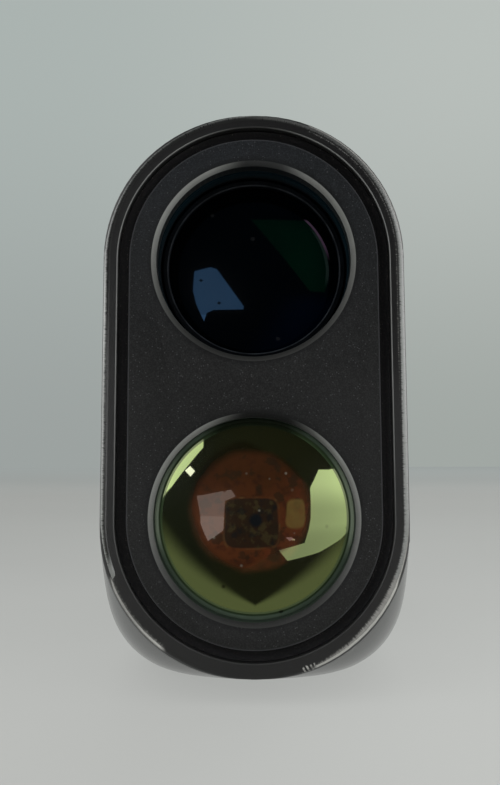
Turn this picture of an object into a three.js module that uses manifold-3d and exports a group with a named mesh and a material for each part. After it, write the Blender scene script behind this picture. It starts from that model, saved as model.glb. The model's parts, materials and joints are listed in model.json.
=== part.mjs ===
// Laser rangefinder: a hand-held monocular with a viewing lens above a receiver lens.
// Millimetres, +Z up, the lenses look along -Y, +X is on the right of someone facing the lenses.
// The origin is the middle of the base's bounding box. A depth is a distance behind the rim's face.
import * as THREE from "three";
import { mergeVertices } from "three/addons/utils/BufferGeometryUtils.js";
import { ConvexGeometry } from "three/addons/geometries/ConvexGeometry.js";
import Module from "manifold-3d";

const wasm = await Module();
wasm.setup();

// ---- fits ----
const CLEARANCE = 0.3;
const MERGE_DISTANCE = 1e-4;
const THROUGH = 1;

// ---- facets ----
const CORNER_STEPS = 6;
const ROUND_STEPS = 24;
const SMALL_STEPS = 10;
const DOME_STEPS = 4;
const WIRE_SIDES = 6;
const BAIL_STEPS = 24;
const SPRING_TURN_STEPS = 10;

// ---- front: lens openings, tubes and rim ----
const LENS_HOLE_R = 12.3;
const HOLE_CHAMFER = 0.8;
const TUBE_WALL = 1.7;
const TUBE_FLANGE_LIP = 1.2;
const TUBE_FLANGE_THICKNESS = 1.2;
const TUBE_SPACING_GAP = 2.15;
const PLATE_MARGIN = 2.73;
const CHANNEL_WIDTH = 1.57;
const WALL = 1.6;
const RIM_CHAMFER = 0.5;
const PLATE_RECESS = 0.5;
const PLATE_THICKNESS = 2;
const GASKET_RECESS = 1.7;
const BULKHEAD_THICKNESS = 2.4;
const LOCK_RING_WIDTH = 1.6;
const LOCK_RING_THICKNESS = 2;

const HOLE_CHAMFER_R = LENS_HOLE_R + HOLE_CHAMFER;
const TUBE_R = LENS_HOLE_R + TUBE_WALL;
const TUBE_FLANGE_R = TUBE_R + TUBE_FLANGE_LIP;
const RIM_R = HOLE_CHAMFER_R + PLATE_MARGIN + CHANNEL_WIDTH + WALL;
const TUBE_BORE_R = TUBE_R + CLEARANCE;
const LOCK_RING_R = TUBE_BORE_R + LOCK_RING_WIDTH;
const PLATE_BACK = PLATE_RECESS + PLATE_THICKNESS;
const TUBE_FRONT = PLATE_BACK + CLEARANCE;
const BULKHEAD_FRONT = TUBE_FRONT + TUBE_FLANGE_THICKNESS + CLEARANCE;
const BULKHEAD_BACK = BULKHEAD_FRONT + BULKHEAD_THICKNESS;

// ---- body section behind the rim ----
const BOTTOM_DROP = 3.35;
const TOP_RISE = 1.5;
const SIDE_FLARE = 1.8;
const FLARE_LENGTH = 22;
const BOTTOM_CORNER_R = 10;
const TOP_CORNER_R = 14;
const CORNER_MEETING_GAP = 0.05;

const RECEIVER_AXIS_Z = BOTTOM_DROP + RIM_R;
const VIEW_AXIS_Z = RECEIVER_AXIS_Z + 2 * TUBE_FLANGE_R + TUBE_SPACING_GAP;
const RIM_TOP_Z = VIEW_AXIS_Z + RIM_R;
const BODY_TOP_Z = RIM_TOP_Z + TOP_RISE;
const BODY_HALF_WIDTH = RIM_R + SIDE_FLARE;

// ---- chain along the length, front to back ----
const HOUSING_LENGTH = 83;
const REAR_SEAL_THICKNESS = 0.6;
const REAR_SEAL_INSET = 0.2;
const COVER_THICKNESS = 4.5;
const COVER_EDGE_CHAMFER = 1;
const DIOPTER_RING_WIDTH = 4.4;
const SNAP_RING_THICKNESS = 0.7;
const SLEEVE_LENGTH = 6.8;
const EYECUP_LIP = 2.2;

const SEAL_FRONT = HOUSING_LENGTH + CLEARANCE;
const COVER_FRONT = SEAL_FRONT + REAR_SEAL_THICKNESS + CLEARANCE;
const COVER_BACK = COVER_FRONT + COVER_THICKNESS;
const DIOPTER_FRONT = COVER_BACK + CLEARANCE;
const DIOPTER_BACK = DIOPTER_FRONT + DIOPTER_RING_WIDTH;
const SNAP_FRONT = DIOPTER_BACK + CLEARANCE;
const SLEEVE_FRONT = SNAP_FRONT + SNAP_RING_THICKNESS + CLEARANCE;
const SLEEVE_BACK = SLEEVE_FRONT + SLEEVE_LENGTH;
const LIP_FRONT = SLEEVE_BACK + CLEARANCE;
const LENGTH = LIP_FRONT + EYECUP_LIP;
const FRONT_Y = -LENGTH / 2;

// ---- viewing optics ----
const OBJECTIVE_RING_DEPTH = 5;
const OBJECTIVE_RING_THICKNESS = 0.9;
const OBJECTIVE_RING_WIDTH = 0.7;
const OBJECTIVE_EDGE = 3;
const OBJECTIVE_BULGE = 1.9;
const OBJECTIVE_BACK_BULGE = 0.6;
const OBJECTIVE_SEAT = 1.2;
const OBJECTIVE_TUBE_NECK = 4.2;
const OBJECTIVE_TUBE_STEP = 1.5;
const OBJECTIVE_REAR_WALL = 1.2;
const OBJECTIVE_REAR_LENGTH = 16;

// ---- receiver optics ----
const RECEIVER_APEX_DEPTH = 0.3;
const RECEIVER_LENS_OVERLAP = 0.6;
const RECEIVER_EDGE = 2;
const RECEIVER_BACK_BULGE = 1.2;
const RECEIVER_SEAT = 1.2;
const RECEIVER_THROAT = 3;
const RECEIVER_CONE_LENGTH = 21.5;
const RECEIVER_CONE_R = 6.2;
const RECEIVER_CONE_BORE_R = 4.2;
const FILTER_R = 4.9;
const FILTER_THICKNESS = 1;
const FILTER_SHOULDER = 1.3;
const RECEIVER_END_R = 9;
const RECEIVER_END_FLANGE = 2;
const DETECTOR_R = 4.6;
const DETECTOR_LENGTH = 2.6;
const DETECTOR_BOARD_SIZE = 18;
const SMALL_BOARD_THICKNESS = 1.2;

// ---- prism and laser ----
const PRISM_APERTURE = 12;
const PRISM_AIR_GAP = 0.4;
const HOLDER_WALL = 1.2;
const HOLDER_END_WALL = 1.5;
const HOLDER_COLLAR = 6;
const HOLDER_WINDOW_R = 5.5;
const PRISM_CLAMP_THICKNESS = 0.7;
const LASER_BORE_R = 3.3;
const LASER_MOUNT_WALL = 0.9;
const LASER_MOUNT_LENGTH = 5;
const LASER_CAN_R = 2.8;
const LASER_FLANGE_R = 3;
const LASER_CAN_LENGTH = 3;
const LASER_FLANGE_THICKNESS = 1;
const LASER_BOARD_LENGTH = 12;
const LASER_BOARD_HEIGHT = 21.5;

// ---- display ----
const DISPLAY_FRAME_SIZE = 16;
const DISPLAY_FRAME_THICKNESS = 2.8;
const DISPLAY_PANEL_SIZE = 13;
const DISPLAY_PANEL_THICKNESS = 1.2;
const DISPLAY_WINDOW = 9;

// ---- main board ----
const BOARD_THICKNESS = 1.2;
const BOARD_SIDE_GAP = 1.6;
const BOARD_FRONT_GAP = 3;
const BOARD_REAR_MARGIN = 7;
const BOARD_RAIL_OVERLAP = 3.8;
const BOARD_RAIL_HEIGHT = 1.5;
const BOARD_SCREW_EDGE = 1.8;
const BOARD_SCREW_INSET = 10;
const CHIP_SIZE = 9;
const CHIP_HEIGHT = 1;
const CHIP_INSET = 15;

// ---- small screws ----
const SMALL_SCREW_R = 0.8;
const SMALL_SCREW_HEAD_R = 1.6;
const SMALL_SCREW_HEAD = 1;
const SMALL_SCREW_LENGTH = 3;

// ---- buttons ----
const BUTTON_TRAVEL = 0.8;
const BUTTON_PROUD = 1.3;
const BUTTON_FLANGE_LIP = 1.2;
const BUTTON_FLANGE_THICKNESS = 1.1;
const MEASURE_BUTTON_WIDTH = 11;
const MEASURE_BUTTON_LENGTH = 20;
const MODE_BUTTON_WIDTH = 11;
const MODE_BUTTON_LENGTH = 12;
const MEASURE_BUTTON_DEPTH = 42;
const BUTTON_SPACING = 4.5;
const SWITCH_HEIGHT = 0.9;
const SWITCH_SIZE = 6;
const BUTTON_BOARD_THICKNESS = 1;
const BUTTON_BOARD_HALF_WIDTH = 12.5;
const BUTTON_BOARD_MARGIN = 3;
const BUTTON_RAIL_OVERLAP = 3.2;
const BUTTON_RAIL_HEIGHT = 1;
const BUTTON_SCREW_EDGE = 1.7;
const SEAL_DROP = 0.5;
const SEAL_THICKNESS = 0.8;
const SEAL_MARGIN = 1.6;

// ---- eyepiece ----
const BARREL_R = 13;
const BARREL_WALL = 1.4;
const BARREL_FLANGE_LIP = 2;
const BARREL_FLANGE_THICKNESS = 1.5;
const BARREL_AHEAD = 10.2;
const BARREL_SHORT = 1;
const SNAP_GROOVE = 0.6;
const SNAP_RING_LIP = 1.2;
const FOCUS_TRAVEL = 1.2;
const FOLLOWER_R = 1;
const CELL_WALL = 1.3;
const CELL_LENGTH = 22.5;
const CELL_SETBACK = 2;
const CELL_SHOULDER = 0.8;
const FIELD_LENS_INSET = 3;
const FIELD_LENS_EDGE = 3.5;
const FIELD_FRONT_BULGE = 1.2;
const FIELD_BACK_BULGE = 1.5;
const EYE_LENS_INSET = 3.7;
const EYE_LENS_EDGE = 2.5;
const EYE_FRONT_BULGE = 1.8;
const EYE_BACK_BULGE = 1.5;
const OCULAR_RING_WIDTH = 1;
const OCULAR_RING_THICKNESS = 1;
const DIOPTER_RING_R = 17.2;
const KNURL_DEPTH = 0.6;
const KNURL_RIBS = 16;
const SLEEVE_WALL = 1.5;
const EYECUP_WALL = 2.3;
const EYECUP_MOUTH_R = 10.8;
const EYECUP_EDGE = 1;

// ---- battery ----
const BATTERY_AXIS_Z = 16;
const BATTERY_R = 7.8;
const BATTERY_LENGTH = 27;
const BATTERY_NUB_R = 3;
const BATTERY_NUB = 0.8;
const BATTERY_FIT = 0.4;
const BATTERY_TUBE_WALL = 1.1;
const BATTERY_TUBE_FLANGE_LIP = 1.7;
const BATTERY_TUBE_FLANGE_THICKNESS = 1.5;
const SPRING_LENGTH = 2.7;
const SPRING_R = 5;
const SPRING_WIRE_R = 0.3;
const SPRING_TURNS = 2;
const CONTACT_R = 6.5;
const CONTACT_THICKNESS = 0.6;
const CAP_PLUG_R = 9.3;
const CAP_PLUG_SETBACK = 0.5;
const CAP_HEAD_MARGIN = 0.6;
const CAP_HEAD_THICKNESS = 2.4;
const CAP_LUG_LIP = 1.1;
const CAP_LUG_WIDTH = 5;
const CAP_LUG_THICKNESS = 1;
const CAP_GROOVE_SETBACK = 1.2;
const CAP_SEAL_WIDTH = 1.1;
const CAP_SEAL_THICKNESS = 0.7;
const COIN_SLOT_WIDTH = 1.6;
const COIN_SLOT_LENGTH = 15;
const COIN_SLOT_DEPTH = 1.2;

// ---- cover screws ----
const COVER_SCREW_INSET = 3.6;
const COVER_SCREW_R = 1;
const COVER_SCREW_HEAD_R = 1.9;
const COVER_SCREW_HEAD = 1.5;
const COVER_SCREW_GRIP = 8;
const COVER_BOSS_R = 2.4;
const COVER_BOSS_LENGTH = 10;

// ---- grip pads ----
const PAD_FRONT = 0.9;
const PAD_REAR_MARGIN = 4.1;
const PAD_BELOW_RECEIVER = 8.95;
const PAD_ABOVE_VIEW = 4.5;
const PAD_CORNER_R = 3.2;
const PAD_PROUD = 0.25;
const PAD_INLAY = 0.6;

// ---- lanyard bail ----
const BAIL_X = 16.2;
const BAIL_BOTTOM_Z = 24;
const BAIL_HEIGHT = 8;
const BAIL_REACH = 6.3;
const BAIL_WIRE_R = 1;
const BAIL_BEND_R = 1.5;
const BAIL_SOCKET = 3;

// ---- colours from the photograph ----
const PAINTED_BLACK = 0x1c1d20;
const PLATE_CHARCOAL = 0x25262a;
const RUBBER_BLACK = 0x17181a;
const ANODISED_BLACK = 0x101114;
const PLASTIC_GREY = 0x33353a;
const BOARD_GREEN = 0x1f4a2c;
const BRIGHT_STEEL = 0xb4b6b8;
const NICKEL = 0x9a9b98;
const VIEW_GLASS = 0x1b2740;
const RECEIVER_GLASS = 0x55602a;
const CLEAR_GLASS = 0xcfd8dc;
const BATTERY_WRAP = 0x4a4d55;

// A place on the Y axis, from a depth behind the rim's face.
function at(depth) {
  return FRONT_Y + depth;
}

// A closed solid from any three.js geometry.
function solid(geometry) {
  const bare = geometry.clone();
  bare.deleteAttribute("normal");
  bare.deleteAttribute("uv");
  const merged = mergeVertices(bare, MERGE_DISTANCE);
  const index = merged.index.array;
  const kept = [];
  for (let i = 0; i < index.length; i += 3) {
    const [a, b, c] = index.slice(i, i + 3);
    if (a !== b && b !== c && c !== a) kept.push(a, b, c);
  }
  const mesh = new wasm.Mesh({
    numProp: 3,
    vertProperties: new Float32Array(merged.attributes.position.array),
    triVerts: new Uint32Array(kept),
  });
  return new wasm.Manifold(mesh);
}

// A body of revolution about an axis along Y. The profile lists [radius, depth] anticlockwise.
function turned(axisZ, profile, steps = ROUND_STEPS) {
  const points = profile.map(([radius, depth]) => new THREE.Vector2(radius, at(depth)));
  return solid(new THREE.LatheGeometry(points, steps).translate(0, 0, axisZ));
}

function disc(axisZ, radius, front, back, steps = ROUND_STEPS) {
  return turned(axisZ, [[0, front], [radius, front], [radius, back], [0, back]], steps);
}

function ring(axisZ, inner, outer, front, back, steps = ROUND_STEPS) {
  const profile = [[inner, front], [outer, front], [outer, back], [inner, back], [inner, front]];
  return turned(axisZ, profile, steps);
}

function box(x0, x1, depth0, depth1, z0, z1) {
  const geometry = new THREE.BoxGeometry(x1 - x0, depth1 - depth0, z1 - z0);
  return solid(geometry.translate((x0 + x1) / 2, at((depth0 + depth1) / 2), (z0 + z1) / 2));
}

// A round pin along Z.
function uprightPin(x, depth, radius, z0, z1) {
  const geometry = new THREE.CylinderGeometry(radius, radius, z1 - z0, SMALL_STEPS);
  geometry.rotateX(Math.PI / 2);
  return solid(geometry.translate(x, at(depth), (z0 + z1) / 2));
}

// A round pin along X, centred on the viewing axis' height.
function crossPin(depth, radius, x0, x1) {
  const geometry = new THREE.CylinderGeometry(radius, radius, x1 - x0, 2 * SMALL_STEPS);
  geometry.rotateZ(Math.PI / 2);
  return solid(geometry.translate((x0 + x1) / 2, at(depth), VIEW_AXIS_Z));
}

// The height of a spherical cap above its edge, at a distance from its axis.
function capHeight(edgeRadius, bulge, radius) {
  const sphere = (edgeRadius ** 2 + bulge ** 2) / (2 * bulge);
  return Math.sqrt(sphere ** 2 - radius ** 2) - (sphere - bulge);
}

// A lens with two spherical faces that bulge outwards from its cylindrical edge.
function lens(axisZ, radius, edgeFront, edgeBack, frontBulge, backBulge) {
  const profile = [];
  for (let i = 0; i <= DOME_STEPS; i += 1) {
    const r = (radius * i) / DOME_STEPS;
    profile.push([r, edgeFront - capHeight(radius, frontBulge, r)]);
  }
  for (let i = DOME_STEPS; i >= 0; i -= 1) {
    const r = (radius * i) / DOME_STEPS;
    profile.push([r, edgeBack + capHeight(radius, backBulge, r)]);
  }
  return turned(axisZ, profile);
}

// ---- sections of the body ----

// How far the flare has run at a depth, from 0 at the rim to 1 behind it.
function flareAt(depth) {
  const run = Math.min(Math.max(depth / FLARE_LENGTH, 0), 1);
  return Math.sin((Math.PI / 2) * run);
}

function bodyAt(depth) {
  const flare = flareAt(depth);
  return {
    halfWidth: RIM_R + SIDE_FLARE * flare,
    bottomZ: BOTTOM_DROP * (1 - flare),
    topZ: RIM_TOP_Z + TOP_RISE * flare,
    bottomR: THREE.MathUtils.lerp(RIM_R, BOTTOM_CORNER_R, flare),
    topR: THREE.MathUtils.lerp(RIM_R, TOP_CORNER_R, flare),
  };
}

// Points [x, z] of a section, anticlockwise from its lower right corner, drawn in by an inset.
function outline(section, inset) {
  const points = [];
  const corners = [
    [1, section.bottomZ + section.bottomR, section.bottomR, -Math.PI / 2],
    [1, section.topZ - section.topR, section.topR, 0],
    [-1, section.topZ - section.topR, section.topR, Math.PI / 2],
    [-1, section.bottomZ + section.bottomR, section.bottomR, Math.PI],
  ];
  for (const [side, centreZ, cornerR, start] of corners) {
    const centreX = side * (section.halfWidth - cornerR + CORNER_MEETING_GAP);
    const radius = cornerR - inset;
    for (let i = 0; i <= CORNER_STEPS; i += 1) {
      const angle = start + ((Math.PI / 2) * i) / CORNER_STEPS;
      const reach = radius - CORNER_MEETING_GAP;
      points.push([centreX + reach * Math.cos(angle), centreZ + radius * Math.sin(angle)]);
    }
  }
  return points;
}

// A closed solid through outlines at rising depths.
function loft(stations) {
  const positions = [];
  const triangles = [];
  const count = stations[0].points.length;
  for (const { depth, points } of stations) {
    for (const [x, z] of points) positions.push(x, at(depth), z);
  }
  for (let k = 0; k + 1 < stations.length; k += 1) {
    for (let i = 0; i < count; i += 1) {
      const next = (i + 1) % count;
      const a = k * count + i;
      const b = k * count + next;
      triangles.push(a, a + count, b, b, a + count, b + count);
    }
  }
  const last = (stations.length - 1) * count;
  for (let i = 1; i + 1 < count; i += 1) {
    triangles.push(0, i, i + 1);
    triangles.push(last, last + i + 1, last + i);
  }
  const geometry = new THREE.BufferGeometry();
  geometry.setAttribute("position", new THREE.Float32BufferAttribute(positions, 3));
  geometry.setIndex(triangles);
  return solid(geometry);
}

// Depths of the stations that follow the flare between two depths.
function flareDepths(front, back) {
  const steps = [0.15, 0.35, 0.55, 0.75, 1].map((share) => share * FLARE_LENGTH);
  const inside = steps.filter((depth) => depth > front + CLEARANCE && depth < back - CLEARANCE);
  return [front, ...inside, back];
}

// The body's own shape between two depths, drawn in by an inset.
function bodySolid(front, back, inset) {
  const depths = flareDepths(front, back);
  return loft(depths.map((depth) => ({ depth, points: outline(bodyAt(depth), inset) })));
}

// A straight prism of the rim's section, drawn in by an inset.
function rimPrism(front, back, inset) {
  const points = outline(bodyAt(0), inset);
  return loft([{ depth: front, points }, { depth: back, points }]);
}

// The place of a cover screw: on the corner's diagonal, set in from the surface.
function coverScrewPlaces() {
  const section = bodyAt(FLARE_LENGTH);
  const places = [];
  for (const side of [-1, 1]) {
    const lower = (section.bottomR - COVER_SCREW_INSET) * Math.SQRT1_2;
    const upper = (section.topR - COVER_SCREW_INSET) * Math.SQRT1_2;
    const lowerX = section.halfWidth - section.bottomR + lower;
    const upperX = section.halfWidth - section.topR + upper;
    places.push([side * lowerX, section.bottomZ + section.bottomR - lower]);
    places.push([side * upperX, section.topZ - section.topR + upper]);
  }
  return places;
}

// A round bar along Y at any place.
function lengthwisePin(x, z, radius, front, back) {
  return disc(z, radius, front, back, SMALL_STEPS).translate([x, 0, 0]);
}

// ---- shared places inside ----
const WALL_INNER_TOP_Z = BODY_TOP_Z - WALL;
const FLANGE_TOP_Z = WALL_INNER_TOP_Z - CLEARANCE;
const FLANGE_BOTTOM_Z = FLANGE_TOP_Z - BUTTON_FLANGE_THICKNESS;
const SWITCH_TOP_Z = FLANGE_BOTTOM_Z - BUTTON_TRAVEL - CLEARANCE;
const BUTTON_BOARD_TOP_Z = SWITCH_TOP_Z - SWITCH_HEIGHT - CLEARANCE;
const BUTTON_BOARD_BOTTOM_Z = BUTTON_BOARD_TOP_Z - BUTTON_BOARD_THICKNESS;
const BUTTON_RAIL_TOP_Z = BUTTON_BOARD_BOTTOM_Z - CLEARANCE;
const MODE_BUTTON_DEPTH =
  MEASURE_BUTTON_DEPTH + (MEASURE_BUTTON_LENGTH + MODE_BUTTON_LENGTH) / 2 + BUTTON_SPACING;
const BUTTON_ZONE_FRONT = MEASURE_BUTTON_DEPTH - MEASURE_BUTTON_LENGTH / 2 - BUTTON_FLANGE_LIP;
const BUTTON_ZONE_BACK = MODE_BUTTON_DEPTH + MODE_BUTTON_LENGTH / 2 + BUTTON_FLANGE_LIP;
const BUTTON_SCREW_DEPTH = MEASURE_BUTTON_DEPTH + (MEASURE_BUTTON_LENGTH + BUTTON_SPACING) / 2;
const BUTTON_RAIL_INNER_X = BUTTON_BOARD_HALF_WIDTH - BUTTON_RAIL_OVERLAP;
const BUTTON_SCREW_X = BUTTON_BOARD_HALF_WIDTH - BUTTON_SCREW_EDGE;

const BOARD_MIDDLE_Z = (RECEIVER_AXIS_Z + VIEW_AXIS_Z) / 2;
const BOARD_BOTTOM_Z = BOARD_MIDDLE_Z - BOARD_THICKNESS / 2;
const BOARD_TOP_Z = BOARD_BOTTOM_Z + BOARD_THICKNESS;
const BOARD_HALF_WIDTH = BODY_HALF_WIDTH - WALL - BOARD_SIDE_GAP;
const BOARD_FRONT = BULKHEAD_BACK + CLEARANCE + LOCK_RING_THICKNESS + BOARD_FRONT_GAP;
const BOARD_BACK = HOUSING_LENGTH - BOARD_REAR_MARGIN;
const BOARD_RAIL_INNER_X = BOARD_HALF_WIDTH - BOARD_RAIL_OVERLAP;
const BOARD_SCREW_X = BOARD_HALF_WIDTH - BOARD_SCREW_EDGE;
const BOARD_RAIL_TOP_Z = BOARD_BOTTOM_Z - CLEARANCE;
const BOARD_SCREWS = [
  [-BOARD_SCREW_X, BOARD_FRONT + BOARD_SCREW_INSET],
  [BOARD_SCREW_X, BOARD_BACK - BOARD_SCREW_INSET],
];
const BUTTON_SCREWS = [
  [-BUTTON_SCREW_X, BUTTON_SCREW_DEPTH],
  [BUTTON_SCREW_X, BUTTON_SCREW_DEPTH],
];

const OBJECTIVE_R = LENS_HOLE_R - CLEARANCE;
const OBJECTIVE_RING_BACK = OBJECTIVE_RING_DEPTH + OBJECTIVE_RING_THICKNESS;
const OBJECTIVE_RING_INNER_R = OBJECTIVE_R - OBJECTIVE_RING_WIDTH;
const OBJECTIVE_EDGE_FRONT =
  OBJECTIVE_RING_BACK + CLEARANCE + capHeight(OBJECTIVE_R, OBJECTIVE_BULGE, OBJECTIVE_RING_INNER_R);
const OBJECTIVE_EDGE_BACK = OBJECTIVE_EDGE_FRONT + OBJECTIVE_EDGE;
const OBJECTIVE_TUBE_STEP_DEPTH = OBJECTIVE_EDGE_BACK + OBJECTIVE_TUBE_NECK;
const OBJECTIVE_REAR_BORE_R = LENS_HOLE_R - OBJECTIVE_SEAT;
const OBJECTIVE_REAR_R = OBJECTIVE_REAR_BORE_R + OBJECTIVE_REAR_WALL;
const OBJECTIVE_TUBE_BACK = OBJECTIVE_TUBE_STEP_DEPTH + OBJECTIVE_TUBE_STEP + OBJECTIVE_REAR_LENGTH;

const RECEIVER_LENS_R = LENS_HOLE_R + RECEIVER_LENS_OVERLAP;
const RECEIVER_EDGE_FRONT = PLATE_BACK + CLEARANCE;
const RECEIVER_EDGE_BACK = RECEIVER_EDGE_FRONT + RECEIVER_EDGE;
const RECEIVER_COUNTERBORE_R = RECEIVER_LENS_R + CLEARANCE;
const RECEIVER_SEAT_DEPTH = RECEIVER_EDGE_BACK + CLEARANCE;
const RECEIVER_BORE_R = RECEIVER_COUNTERBORE_R - RECEIVER_SEAT;
const RECEIVER_CONE_FRONT = RECEIVER_SEAT_DEPTH + RECEIVER_THROAT;
const RECEIVER_CONE_BACK = RECEIVER_CONE_FRONT + RECEIVER_CONE_LENGTH;
const FILTER_BORE_R = FILTER_R + CLEARANCE;
const FILTER_FRONT = RECEIVER_CONE_BACK + FILTER_SHOULDER + CLEARANCE;
const FILTER_BACK = FILTER_FRONT + FILTER_THICKNESS;
const DETECTOR_FRONT = FILTER_BACK + CLEARANCE;
const DETECTOR_BACK = DETECTOR_FRONT + DETECTOR_LENGTH;
const DETECTOR_BOARD_FRONT = DETECTOR_BACK + CLEARANCE;

const HOLDER_FRONT = OBJECTIVE_TUBE_BACK + CLEARANCE;
const PRISM_FRONT = HOLDER_FRONT + HOLDER_END_WALL + CLEARANCE;
const PRISM_SHIFT = PRISM_AIR_GAP * Math.SQRT1_2;
const PRISM_HALF_WIDTH = PRISM_APERTURE / 2;
// The half-penta prism's far corner lies (1 + 1/sqrt 2)/sqrt 2 apertures behind its entry face.
const PRISM_LENGTH_RATIO = (1 + Math.SQRT1_2) * Math.SQRT1_2;
const PRISM_BACK = PRISM_FRONT + PRISM_LENGTH_RATIO * PRISM_APERTURE + PRISM_SHIFT;
const HOLDER_CAVITY_BACK = PRISM_BACK + CLEARANCE;
const HOLDER_BACK = HOLDER_CAVITY_BACK + HOLDER_END_WALL;
const HOLDER_INNER_X = PRISM_HALF_WIDTH + CLEARANCE;
const HOLDER_OUTER_X = HOLDER_INNER_X + HOLDER_WALL;
const PRISM_DROP = Math.tan(Math.PI / 8) + 0.5;
const HOLDER_FLOOR_Z = VIEW_AXIS_Z - PRISM_DROP * PRISM_APERTURE - CLEARANCE;
const HOLDER_TOP_Z = VIEW_AXIS_Z + PRISM_APERTURE + PRISM_SHIFT + CLEARANCE;
const LASER_DEPTH = (PRISM_FRONT + PRISM_BACK) / 2;
const LASER_MOUNT_X = HOLDER_OUTER_X + CLEARANCE;
const LASER_MOUNT_END_X = LASER_MOUNT_X + LASER_MOUNT_LENGTH;
const LASER_FLANGE_END_X = LASER_MOUNT_END_X + CLEARANCE;
const LASER_BOARD_X = LASER_FLANGE_END_X + CLEARANCE;
const DISPLAY_FRAME_FRONT = HOLDER_BACK + CLEARANCE;
const DISPLAY_POCKET = DISPLAY_PANEL_THICKNESS + 2 * CLEARANCE;

const BARREL_BORE_R = BARREL_R + CLEARANCE;
const BARREL_INNER_R = BARREL_R - BARREL_WALL;
const BARREL_FLANGE_BACK = COVER_FRONT - CLEARANCE;
const BARREL_FLANGE_FRONT = BARREL_FLANGE_BACK - BARREL_FLANGE_THICKNESS;
const BARREL_FRONT = COVER_FRONT - BARREL_AHEAD;
const BARREL_BACK = SLEEVE_BACK - BARREL_SHORT;
const FOLLOWER_DEPTH = (DIOPTER_FRONT + DIOPTER_BACK) / 2;
const CELL_R = BARREL_INNER_R - CLEARANCE;
const CELL_BORE_R = CELL_R - CELL_WALL;
const CELL_BACK_DEPTH = BARREL_BACK - CELL_SETBACK;
const CELL_FRONT_DEPTH = CELL_BACK_DEPTH - CELL_LENGTH;
const OCULAR_R = CELL_BORE_R - CLEARANCE;
const FIELD_EDGE_FRONT = CELL_FRONT_DEPTH + FIELD_LENS_INSET;
const FIELD_EDGE_BACK = FIELD_EDGE_FRONT + FIELD_LENS_EDGE;
const EYE_EDGE_BACK = CELL_BACK_DEPTH - EYE_LENS_INSET;
const EYE_EDGE_FRONT = EYE_EDGE_BACK - EYE_LENS_EDGE;
const OCULAR_RING_INNER_R = OCULAR_R - OCULAR_RING_WIDTH;
const OCULAR_RING_FRONT =
  EYE_EDGE_BACK + CLEARANCE + capHeight(OCULAR_R, EYE_BACK_BULGE, OCULAR_RING_INNER_R);
const SLEEVE_OUTER_R = BARREL_BORE_R + SLEEVE_WALL;
const EYECUP_INNER_R = SLEEVE_OUTER_R + CLEARANCE;
const EYECUP_R = EYECUP_INNER_R + EYECUP_WALL;

const PLUG_FRONT = COVER_FRONT + CAP_PLUG_SETBACK;
const CONTACT_BACK = PLUG_FRONT - CLEARANCE;
const CONTACT_FRONT = CONTACT_BACK - CONTACT_THICKNESS;
const BATTERY_BACK = CONTACT_FRONT - CLEARANCE;
const BATTERY_FRONT = BATTERY_BACK - BATTERY_LENGTH;
const SPRING_BACK = BATTERY_FRONT - CLEARANCE;
const SPRING_FRONT = SPRING_BACK - SPRING_LENGTH;
const BATTERY_TUBE_FLOOR = SPRING_FRONT - CLEARANCE;
const BATTERY_TUBE_FRONT = BATTERY_TUBE_FLOOR - BATTERY_TUBE_WALL;
const BATTERY_TUBE_BACK = COVER_FRONT - CLEARANCE;
const BATTERY_TUBE_BORE_R = BATTERY_R + BATTERY_FIT;
const BATTERY_TUBE_R = BATTERY_TUBE_BORE_R + BATTERY_TUBE_WALL;
const PLUG_BORE_R = CAP_PLUG_R + CLEARANCE;
const LUG_R = CAP_PLUG_R + CAP_LUG_LIP;
const GROOVE_R = LUG_R + CLEARANCE;
const GROOVE_FRONT = COVER_FRONT + CAP_GROOVE_SETBACK;
const LUG_FRONT = GROOVE_FRONT + CLEARANCE;
const LUG_BACK = LUG_FRONT + CAP_LUG_THICKNESS;
const GROOVE_BACK = LUG_BACK + CLEARANCE;
const CAP_SEAL_R = PLUG_BORE_R + CAP_SEAL_WIDTH;
const CAP_HEAD_R = CAP_SEAL_R + CLEARANCE + CAP_HEAD_MARGIN;
const CAP_SEAL_BACK = COVER_BACK;
const CAP_SEAL_FRONT = CAP_SEAL_BACK - CAP_SEAL_THICKNESS;
const CAP_HEAD_FRONT = COVER_BACK + CLEARANCE;
const CAP_HEAD_BACK = CAP_HEAD_FRONT + CAP_HEAD_THICKNESS;

// ---- housing ----

// A vertical prism with round ends, long along Y, such as a button.
function uprightOval(width, length, middleDepth, z0, z1) {
  const radius = width / 2;
  const straight = Math.max(length / 2 - radius, CORNER_MEETING_GAP);
  const shape = new THREE.Shape();
  shape.absarc(0, straight, radius, 0, Math.PI, false);
  shape.absarc(0, -straight, radius, Math.PI, 2 * Math.PI, false);
  shape.closePath();
  const settings = { depth: z1 - z0, bevelEnabled: false, curveSegments: SMALL_STEPS };
  const geometry = new THREE.ExtrudeGeometry(shape, settings);
  return solid(geometry.translate(0, at(middleDepth), z0));
}

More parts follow.
